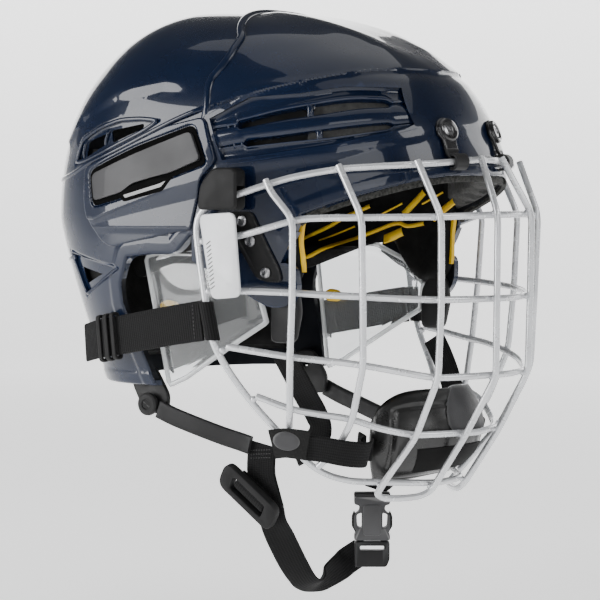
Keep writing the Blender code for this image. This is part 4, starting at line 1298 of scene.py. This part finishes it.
def beads(name, places, radius):
    """Weld beads, one at each place."""
    if not places:
        return
    bm = bmesh.new()
    for at in places:
        bmesh.ops.create_icosphere(bm, subdivisions=3, radius=radius * MM, matrix=Matrix.Translation(at * MM))
    finished(as_object(bm, name, 80), "wire", "cage")


def crossings(path, others):
    """The places where this wire touches the others."""
    found = []
    for other in others:
        near = [(p, nearest_on(other, p)) for p in path]
        gaps = [(a - b).length for a, b in near]
        for i in range(1, len(gaps) - 1):
            if gaps[i] < TOUCHING and gaps[i] <= gaps[i - 1] and gaps[i] < gaps[i + 1]:
                found.append((near[i][0] + near[i][1]) / 2)
    return found


def build_cage():
    rim = smooth_path(RIM + mirrored(RIM[-2:0:-1], -1), 3.0, closed=True)
    wire("rim_wire", rim, ("cage_rim",), closed=True)
    crossed = [rim]
    for name, half in BARS.items():
        path = smooth_path(mirrored(half[:0:-1], -1) + half, 4.0)
        wire(f"cross_wire_{name}", path, (f"cage_bar_{name}",))
        crossed.append(path)
    for side, sign in SIDES:
        for name, points in UPRIGHTS.items():
            path = smooth_bends(mirrored(points, sign))
            wire(f"{side}_upright_wire_{name}", path, (f"{side}_upright_{name}",))
            beads(f"{side}_weld_beads_{name}", crossings(smooth_path(path, 1.5), crossed), 1.75)
    ends = [Vector(mirrored(half[-1:], sign)[0]) for _, sign in SIDES for half in BARS.values()]
    beads("rim_weld_beads", [end.lerp(nearest_on(rim, end), 0.55) for end in ends], 1.9)


def build_wire_covers():
    """The white plates over the side wires, each with a strip of slanted lines in place of print."""
    outline = rounded([(-17.6, 5.4), (-37, 7.2), (-33, 53), (-9, 51.5)], 4.5, 8)
    slanted = Matrix.Rotation(math.radians(-35), 4, "X") @ Matrix.Diagonal((0.12 * MM, 3.4 * MM, 0.55 * MM, 1))
    for side, sign in SIDES:
        stands_for = (f"{side}_wire_cover",)
        plate(f"{side}_cover_plate", outline, 1.6, beside(sign, 111.6), "label", "cage", stands_for, 0.6, 3)
        bm = bmesh.new()
        for k in range(12):
            z = 12.0 + k * 2.2
            y = -19.5 + (z - 5) * 0.12
            at = Matrix.Translation(Vector((sign * 112.45, y, z)) * MM)
            bmesh.ops.create_cube(bm, size=1.0, matrix=at @ slanted)
        finished(as_object(bm, f"{side}_cover_hatch"), "print", "cage")


# Chin cup.

CUP_PROFILE = [
    (-106, -46, 30), (-112, -57, 36), (-114.5, -68, 39), (-110, -81, 38), (-98, -91, 33), (-86, -94.5, 27),
]
CUP_SIDE_Y, CUP_WRAP_DEG, CUP_MIDDLE = -66.0, 82.0, Vector((0, -72, -66))
CUP_LINE = [tuple(p) for p in smooth_path(CUP_PROFILE, 2.0)]


def cup_point(u, v, inset):
    """A point of the cup's skin; inset moves it in towards the chin."""
    front, z, half = along(CUP_LINE, v)
    turn = math.radians(CUP_WRAP_DEG) * (2 * u - 1)
    y = CUP_SIDE_Y + (front - CUP_SIDE_Y) * math.cos(turn)
    point = Vector((half * math.sin(turn), y, z - (0.5 + 4.5 * v) * math.sin(turn) ** 2))
    return point + (CUP_MIDDLE - point).normalized() * inset


def cup_height(u, v):
    """The share of the profile at height v: the skin narrows to a rounded end on each side."""
    side = abs(2 * u - 1)
    top, bottom = 0.42 * (1 - math.sqrt(1 - min(side, 1) ** 6)), 1 - 0.10 * side**4
    return top + (bottom - top) * v


def cup_piece(name, finish, spans, top, bottom, outer=-3.9, down=8):
    """A thin piece on the cup's skin: spans gives its reach in u at even shares of the way down."""
    def point(u, v, skin):
        around = 0.5 + along([(span,) for span in spans], v)[0] * (2 * u - 1)
        return cup_point(around, cup_height(around, top + (bottom - top) * v), (outer, -2.6)[skin])

    finished(two_skins(name, 28, down, point, 40), finish, "cage")


def build_chin_cup():
    """A padded cup with a grooved, thinned edge, its band and plate, and the straps that hold it."""
    def point(u, v, skin):
        edge = min(u * 1.5, (1 - u) * 1.5, v, 1 - v)
        thin = 3.2 * (1 - math.sqrt(1 - (1 - min(edge / 0.09, 1)) ** 2))
        groove = 1.4 * (1 - float(ease(abs(edge - 0.16), 0.0, 0.022)))
        return cup_point(u, cup_height(u, v), (thin + groove - 3.3, 3.5 - thin)[skin])

    cup = two_skins("chin_cup_shell", *(((96, 60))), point, 60)
    finished(cup, "cup", "cage", ("chin_cup",))
    cup_piece("chin_cup_band", "binding", (0.29, 0.27), 0.50, 0.74)
    cup_piece("chin_cup_plate", "buckle_grey", (0.10, 0.15, 0.17, 0.165, 0.12), 0.015, 0.44, -4.3, 16)
    path = [
        (43.5, -68.5, -77), (50, -79, -79), (61, -84.5, -80), (73.5, -80.5, -78.5), (82, -70, -76),
        (86.5, -60.5, -75),
    ]
    faces = [
        (0.9, -0.3, -0.1), (0.6, -0.8, -0.2), (0.5, -0.85, -0.2), (0.75, -0.6, -0.2), (0.9, -0.45, -0.3),
        (0.9, -0.45, -0.3),
    ]
    tab = [(94.5, -45.5, -73.5), (93.2, -53, -72.5), (90.5, -59.5, -73), (87.2, -64, -73.8)]
    dome = [
        (0.01, -1.0), (7.3, -1.0), (7.6, -0.5), (7.2, 0.1), (6.2, 0.6), (4.2, 0.95), (2.4, 1.06), (1.2, 1.1),
        (0.5, 1.1),
    ]
    for side, sign in SIDES:
        strap(f"{side}_cup_strap", mirrored(path, sign), mirrored(faces, sign), 15.0, 1.8, "webbing", "cage",
              (f"{side}_chin_cup_strap",), 2.5)
        normal = (sign * 0.86, -0.46, -0.2)
        turned(f"{side}_snap", dome, (sign * 94.2, -54.8, -71.4), normal, "buckle_grey", "cage",
               (f"{side}_snap_button",), angle=50, squash=0.72, up=(sign * 0.46, 0.86, 0.12))
        strap(f"{side}_snap_tab", mirrored(tab, sign), [normal] * 2, 17.0, 1.6, "binding", "cage", step=2.0)


# Side clips, forehead clips and their screws.


def build_side_clips():
    """Clips that the rim wire lies in, each on a bracket with three screws."""
    outline = rounded([(-34, 54), (-34, 75), (-31, 77), (-18, 77), (-9.5, 68), (-7.5, 54)], 3.5)
    bracket = [(-41, 15), (-50, 14.5), (-49, 22), (-35, 53), (-20, 53), (-22, 44), (-36, 17)]
    head = [(0.01, -0.6), (3.0, -0.6), (3.1, 0.0), (2.6, 0.9), (1.4, 1.2), (1.2, 0.5), (0.01, 0.5)]

    def bracket_face(y, z):
        return 2.5 + 0.6 * ease(-to_outline(y, z, bracket), 1.5, 2.5)

    for side, sign in SIDES:
        clip = plate(f"{side}_rim_clip", outline, 10.0, beside(sign, 107.4), "dark_grey", "helmet",
                     (f"{side}_side_clip",), 1.6, 4)
        bpy.context.view_layer.update()
        clip.data.transform(clip.matrix_world)
        clip.matrix_world = Matrix.Identity(4)
        channel = prism([[(-60, 20), (-60, 67), (20, 67), (20, 20)]], *sorted((sign * 103.6, sign * 111.2)))
        cut(clip, channel, solver="EXACT")
        base = patch(f"{side}_rim_clip_bracket", bracket, sign, bracket_face, 0.6, radius=3.0, passes=2)
        finished(bevelled(base, 0.4), "black", "helmet", (f"{side}_clip_bracket",))
        for k, place in enumerate(on_side([(-30, 48), (-34.5, 37), (-42, 20)], sign, 3.6)):
            turned(f"{side}_bracket_screw_{k}", head, place, (sign, 0, 0), "steel", "helmet", segments=24)


def build_forehead_clips():
    """Plates screwed to the forehead, each with a hook that curls round the rim wire."""
    outline = [(-4.6, -9.5), (4.6, -9.5), (5.0, -3.0)]
    outline += [(7.6 * math.cos(a), 1.8 + 7.6 * math.sin(a)) for a in np.linspace(-0.35, math.pi + 0.35, 26)]
    outline += [(-5.0, -3.0)]
    ring = [(3.4, 0.6), (6.4, 0.6), (6.9, 1.2), (6.7, 2.4), (5.8, 2.9), (4.6, 2.6), (4.2, 1.6), (3.4, 1.2)]
    head = [(0.01, 0.4), (3.9, 0.4), (4.1, 1.2), (3.4, 2.2), (1.9, 2.5), (1.7, 1.6), (0.01, 1.6)]
    hook_section = [(3.3, 4.8), (4.5, 4.8), (4.8, 4.4), (4.8, -4.4), (4.5, -4.8), (3.3, -4.8)]
    for side, sign in SIDES:
        x = sign * 25.8
        name = f"{side}_forehead"
        lower, upper = (float(front_y(x, z)) for z in (86.0, 103.0))
        lean = Vector((0, upper - lower, 17.0)).normalized()
        turn = Matrix.Rotation(math.radians(sign * 14), 3, "Z")
        normal, up = turn @ Vector((0, -lean.z, lean.y)), turn @ lean
        at = Vector((x, float(front_y(x, 95)), 95)) + normal * 1.5
        plate(f"{name}_hook_plate", outline, 2.0, basis(at, normal, up), "black_gloss", "helmet",
              (f"{name}_clip",), 0.6, 3)
        turned(f"{name}_hook_boss", ring, at + up * 1.8, normal, "black_gloss", "helmet")
        turned(f"{name}_screw_head", head, at + up * 1.8, normal, "steel", "helmet", (f"{name}_screw",), 32)
        wire_at = Vector((x, -121.6, 80.3))
        rows = []
        for k in range(25):
            angle = math.radians(52 + 238 * k / 24)
            c, s = math.cos(angle), math.sin(angle)
            rows.append([wire_at + turn @ Vector((x, r * c, r * s)) for r, x in hook_section])
        finished(loft(f"{name}_hook", rows, closed_rows=True, angle=35), "black", "helmet")
        low = at - up * 8.5
        neck = [wire_at + turn @ Vector((0, 1.6, 3.2)), low - up * 2.0 - normal * 0.2, low + up * 1.5]
        strap(f"{name}_hook_neck", neck, [tuple(normal)] * 2, 9.6, 1.8, "black", "helmet", step=1.5)


# Straps and buckles.


def build_side_straps():
    """Elastic side straps: a loop round the rim wire, a row of stitches and a three-bar slider."""
    path = [
        (108, -7.8, -6.8), (108, 8, -9.2), (107, 30, -13), (104.6, 52, -17), (100.6, 70, -20), (95, 84, -23),
    ]
    faces = [(1, 0, 0), (1, 0.02, 0), (0.98, 0.15, 0), (0.95, 0.3, 0), (0.88, 0.45, 0), (0.8, 0.6, 0)]
    loop_section = [(2.95, -10.5), (2.95, 10.5), (4.1, 10.5), (4.1, -10.5)]
    window = [rounded_box(23.4, 2.9, 1.2)]

    def loop_uv(i, j):
        return i * 0.0014, (0, 0.021, 0.021, 0)[j % 4]

    for side, sign in SIDES:
        body = f"{side}_side_strap"
        strap(f"{side}_elastic", mirrored(path, sign), mirrored(faces, sign), 22.0, 1.7, "elastic", body,
              (f"{side}_elastic_strap",), 2.5)
        rows = []
        for k in range(17):
            angle = math.radians(20 + 320 * k / 16)
            c, s = math.cos(angle), math.sin(angle)
            rows.append([(sign * (107.8 + r * s), 0.22 * z - 12.9 + r * c, z - 6.5) for r, z in loop_section])
        loop = loft(f"{side}_elastic_loop", rows, closed_rows=True, angle=50, uv=loop_uv)
        finished(loop, "elastic", body)
        centre, forward, outward = (sign * 102.9, 60.8, -18.5), (-sign * 4.0, 18, -3), (sign * 0.93, 0.36, 0)
        bars = (
            (f"{side}_slider_ring", 0.0, 0.0, 3.4, (f"{side}_strap_slider",)),
            (f"{side}_slider_bar_0", -7.0, 0.9, 3.0, ()),
            (f"{side}_slider_bar_1", 7.0, -0.7, 3.0, ()),
        )
        for name, shift, raised, depth, stands_for in bars:
            at = Vector(centre) + Vector(forward).normalized() * shift
            at.x += sign * raised
            plate(name, rounded_box(27.0, 6.0, 2.6), depth, basis(at, forward, outward), "dark_grey", body,
                  stands_for, 0.7, 3, window)
        ends = (sign * 109.1, -2.5, 2.5), (sign * 109.0, -4.0, -17.0)
        stitches(f"{side}_elastic_stitch", *ends, (sign, 0, 0), 9, body)


def build_harness():
    """The strap legs with their hangers and anchors, the joint on the right and the tri-glide below it."""
    leg = [
        (80.5, -43.5, -25), (80, -49, -34), (78, -56, -47), (74.5, -61, -58), (71, -61.5, -67), (69, -55, -75),
        (70, -43.5, -81.5),
    ]
    sleeve = [
        (86, 38.5, -59.5), (85, 28, -63.5), (83, 12, -68.5), (80.5, -3, -73), (79, -13, -75.5),
        (78.4, -19.5, -77.2),
    ]
    hanger = rounded([(-51, -19), (-55, -2), (-53, 12), (-41, 12), (-36, 4), (-36, -19)], 4)
    clip = rounded([(36, -63), (34, -52), (44, -36), (56, -36), (61, -45), (52, -62)], 4)
    disc = [(0.01, -1.7), (6.4, -1.7), (6.6, -0.9), (6.4, 0.6), (5.4, 1.4), (3.0, 1.7), (2.6, 1.2), (0.01, 1.2)]
    for side, sign in SIDES:
        facing = [(sign, 0, 0)] * 3
        plate(f"{side}_hanger_block", hanger, 5.4, beside(sign, 80.3), "black", "helmet",
              (f"{side}_strap_hanger",), 1.4, 3)
        strap(f"{side}_front_leg", mirrored(leg, sign), facing, 14.5, 1.7, "webbing", "helmet",
              (f"{side}_front_strap",), 2.5, selvedge=1.25)
        bends = ("helmet", "rear", (sign * 0.0784, -0.0195, -0.0772), (sign * 0.0845, 0.024, -0.0645))
        strap(f"{side}_sleeve", mirrored(sleeve, sign), facing, 10.4, 2.9, "black", bends,
              (f"{side}_rear_strap_sleeve",))
        plate(f"{side}_anchor_plate", clip, 3.0, beside(sign, 81.5), "black", "rear",
              (f"{side}_rear_strap_clip",), 0.7, 3, [ellipse(2.4, 2.4, 20, 50, -44)])
        turned(f"{side}_anchor_disc", disc, (sign * 87.2, 46, -57), facing[0], "dark_grey", "rear",
               (f"{side}_strap_pivot",))
    joined = [
        (-75.2, -26.2, -76.5), (-75.4, -25, -84), (-75.4, -25, -94), (-75.2, -28, -104.5), (-74.4, -30.2, -113),
    ]
    strap("joint_webbing", joined, [(-1, 0, 0)] * 2, 18.5, 2.6, "webbing", "helmet", ("strap_junction",), 2.0)
    for k in range(3):
        z = -79.0 - k * 2.2
        stitches(f"joint_stitch_{k}", (-76.9, -32.5, z), (-76.9, -18.5, z - 1.2), (-1, 0, 0), 8, "helmet")
    facing = (-0.93, 0.18, -0.30)
    glide = basis((-82.4, -21.5, -105.0), facing, (0, 0.6, -0.8))
    weave = ((-8.2, -3.5), (-5.4, -3.3), (-3.0, -0.9), (0, 0.3), (3.0, -0.9), (5.4, -3.3), (8.2, -3.5))
    threaded = [glide @ (Vector((0, y, z)) * MM) / MM for y, z in weave]
    strap("glide_webbing", threaded, [facing] * 2, 23.0, 1.5, "webbing", "helmet", step=1.0)
    outline, window = rounded_box(42.0, 18.5, 6.5), rounded_box(25.0, 9.5, 1.6)
    plate("tri_glide", outline, 4.4, glide, "dark_grey", "helmet", ("strap_adjuster",), 1.2, 3, [window])


def build_buckle():
    """The webbing on each side of the buckle, its case with two windows, and the plug with its prongs."""
    facing = (-0.83, -0.56, 0)
    lower = [
        (-74.2, -30.5, -112), (-72.5, -31, -120), (-64, -31.3, -132.2), (-54.5, -31.6, -144.8),
        (-46.5, -32, -154), (-41, -32.3, -158.6), (-34, -32.3, -160.6), (-26, -32, -159.8),
        (-18, -32.4, -157.2), (-7, -33.5, -153.6), (-1.3, -34.2, -151), (3.5, -41, -145.5),
    ]
    faces = [
        (-0.97, -0.2, -0.1), (-0.95, -0.3, -0.1), facing, facing, (-0.80, -0.53, -0.28), (-0.58, -0.40, -0.71),
        (-0.56, -0.38, -0.74), (-0.68, -0.46, -0.57), (-0.78, -0.53, -0.34), (-0.82, -0.56, -0.12), facing,
        facing,
    ]
    bends = ("helmet", "lower_buckle", (-0.0745, -0.0305, -0.116), (-0.034, -0.0323, -0.1606))
    strap("lower_webbing", lower, faces, 16.0, 1.7, "webbing", bends, ("lower_strap",), 2.0)
    upper = [
        (75.4, -25, -77), (75.2, -26, -86), (72, -30, -94), (64, -34, -99), (48, -39, -101.5), (30, -43, -104),
        (17, -46, -107), (8.5, -47, -108.6),
    ]
    faces = [(1, 0, 0), (0.6, 0, 0.7), (0.1, -0.1, 1), (-0.3, -0.3, 1)]
    strap("upper_webbing", upper, faces, 14.0, 1.7, "webbing", "helmet", ("buckle_strap",), 2.5)

    def at(z, out=0.0):
        return basis((2.0 - 0.829 * out, -49.0 - 0.559 * out, z), (-0.829, -0.559, 0), (0, 0, 1))

    right = [
        (10.4, 12.8), (10.4, 8.2), (7.4, 7.4), (7.4, 4.4), (10.3, 2.0), (10.3, -6.0), (8.8, -7.6), (10.4, -9.4),
        (10.4, -12.8),
    ]
    socket = rounded([(-10.4, 12.8), *right, *((-x, z) for x, z in right[:0:-1])], 1.2)
    window = [(9.0, 2.2), (8.6, -5.0), (6.0, -6.0), (6.0, 3.4)]
    holes = [rounded([(-9.0, 2.2), (-6.0, 3.4), (-6.0, -6.0), (-8.6, -5.0)], 1.2), rounded(window, 1.2)]
    plate("buckle_case", socket, 7.6, at(-125.0), "buckle_grey", "helmet", ("buckle_socket",), 0.7, 3, holes)
    panel = rounded_box(10.4, 18.0, 2.0)
    plate("buckle_case_panel", panel, 1.2, at(-126.0, 3.7), "buckle_grey", "helmet", bevel=0.4)
    prong = [
        (10.4, 4.2), (11.8, 1.0), (11.8, -4.6), (9.6, -8.4), (8.4, -14.4), (4.6, -14.4), (6.2, -8.4),
        (9.3, -3.6), (9.2, 1.6),
    ]
    for k, sign in enumerate((1, -1)):
        outline = rounded([(sign * x, z) for x, z in prong], 0.8)[::sign]
        plate(f"buckle_prong_{k}", outline, 4.6, at(-125.0), "black", "lower_buckle")
    plate("buckle_case_bar", rounded_box(21.0, 3.2, 1.2), 6.4, at(-111.6), "black", "helmet", (), 0.8, 3)
    plug = rounded([(-10.2, 7.4), (10.2, 7.4), (10.2, -3.0), (8.4, -7.4), (-10.2, -7.4)], 1.4)
    plate("buckle_plug_block", plug, 6.6, at(-146.0), "black", "lower_buckle", ("buckle_plug",), 0.7, 3,
          [rounded_box(14.0, 2.6, 1.0, 0, 3.6)])


# Stage, in metres.

GROUND, BACKDROP_TOP = -0.193, 1.12


def area_light(name, place, size, power):
    """A white light that faces the middle of the helmet."""
    data = bpy.data.lights.new(name, "AREA")
    data.shape = "RECTANGLE"
    data.size, data.size_y = size
    data.energy = power
    obj = linked(name, data)
    obj.location = place
    obj.rotation_euler = (-obj.location).to_track_quat("-Z", "Y").to_euler()


def pale(name, low, high):
    """Near-white stuff whose glow goes from low near the floor to high above the helmet."""
    made, tree, shader = new_material(name)
    colour = mixed(tree, noise(tree, 2.0), (0.90, 0.90, 0.90), (0.92, 0.92, 0.92))
    tree.links.new(colour, shader.inputs["Base Color"])
    set_inputs(shader, {"Roughness": 0.9, "Specular IOR Level": 0.1, "Emission Color": (1, 1, 1, 1)})
    place = node(tree, "ShaderNodeNewGeometry")
    height = node(tree, "ShaderNodeSeparateXYZ")
    tree.links.new(place.outputs["Position"], height.inputs[0])
    glow = ranged(tree, height.outputs[2], low, high, -0.16, 0.5)
    tree.links.new(glow, shader.inputs["Emission Strength"])
    return made


def build_floor():
    """A round floor that curves up at its far edge, in metres."""
    bm = bmesh.new()
    turns = [2 * math.pi * k / 96 for k in range(96)]
    rim = [(r, GROUND) for r in (0.3, 1.2, 2.4, 3.6)]
    bend = np.linspace(0.1, math.pi / 2, 10)
    rim += [(3.6 + 2.0 * math.sin(a), GROUND + 1.2 * (1 - math.cos(a))) for a in bend]
    centre = bm.verts.new((0, 0, GROUND))
    rings = [[bm.verts.new((r * math.cos(a), r * math.sin(a), z)) for a in turns] for r, z in rim]
    for k in range(len(turns)):
        bm.faces.new((centre, rings[0][k - 1], rings[0][k]))
        for low, high in zip(rings, rings[1:]):
            bm.faces.new((low[k - 1], high[k - 1], high[k], low[k]))
    return as_object(bm, "floor", 80)


def build_backdrop():
    """A screen behind the helmet as the camera sees it, in metres, curved where it meets the floor."""
    bm = bmesh.new()
    arc = np.linspace(math.radians(62), math.radians(157), 50)
    bend = [(math.sin(a), math.cos(a)) for a in np.linspace(0, math.pi / 2, 20)]
    profile = [(1.9 + 0.7 * s, 0.7 - 0.7 * c + GROUND - 0.0006) for s, c in bend] + [(2.6, BACKDROP_TOP)]
    rows = [[bm.verts.new((r * math.sin(a), -r * math.cos(a), z)) for a in arc] for r, z in profile]
    for low, high in zip(rows, rows[1:]):
        for i in range(len(arc) - 1):
            bm.faces.new((low[i], low[i + 1], high[i + 1], high[i]))
    return as_object(bm, "backdrop")


def build_stage():
    floor, backdrop = build_floor(), build_backdrop()
    for piece, made in ((floor, pale("pale_floor", 0.85, 0.20)), (backdrop, pale("pale_sweep", 0.85, 1.9))):
        piece.data.materials.append(made)
    world = bpy.data.worlds.new("studio")
    bpy.context.scene.world = world
    world.use_nodes = True
    set_inputs(world.node_tree.nodes["Background"], {"Color": (1, 1, 1, 1), "Strength": 0.11})
    area_light("left_strip", (-1.24, 0.85, 0.41), (0.68, 1.16), 24)
    area_light("overhead", (0.4, -0.25, 2.6), (2.9, 2.7), 19)
    area_light("front_fill", (0.2, -2.6, 1.5), (1.2, 1.0), 20)
    area_light("camera_fill", (-2.2, -2.2, 0.9), (1.6, 1.2), 16)
    camera = bpy.data.cameras.new("camera")
    camera.lens = 138
    camera.sensor_width = 36
    obj = linked("camera", camera)
    obj.location = (-1.1202, -0.7556, 0.0675)
    obj.rotation_euler = (-obj.location).to_track_quat("-Z", "Y").to_euler()
    bpy.context.scene.camera = obj


build_shells()
build_band_panels()
build_shell_ribs()
build_back_ribs()
build_brow_edge()
build_seam_lip()
build_arms()
build_lining()
build_ear_guards()
build_cage()
build_wire_covers()
build_chin_cup()
build_side_clips()
build_forehead_clips()
build_side_straps()
build_harness()
build_buckle()
build_stage()
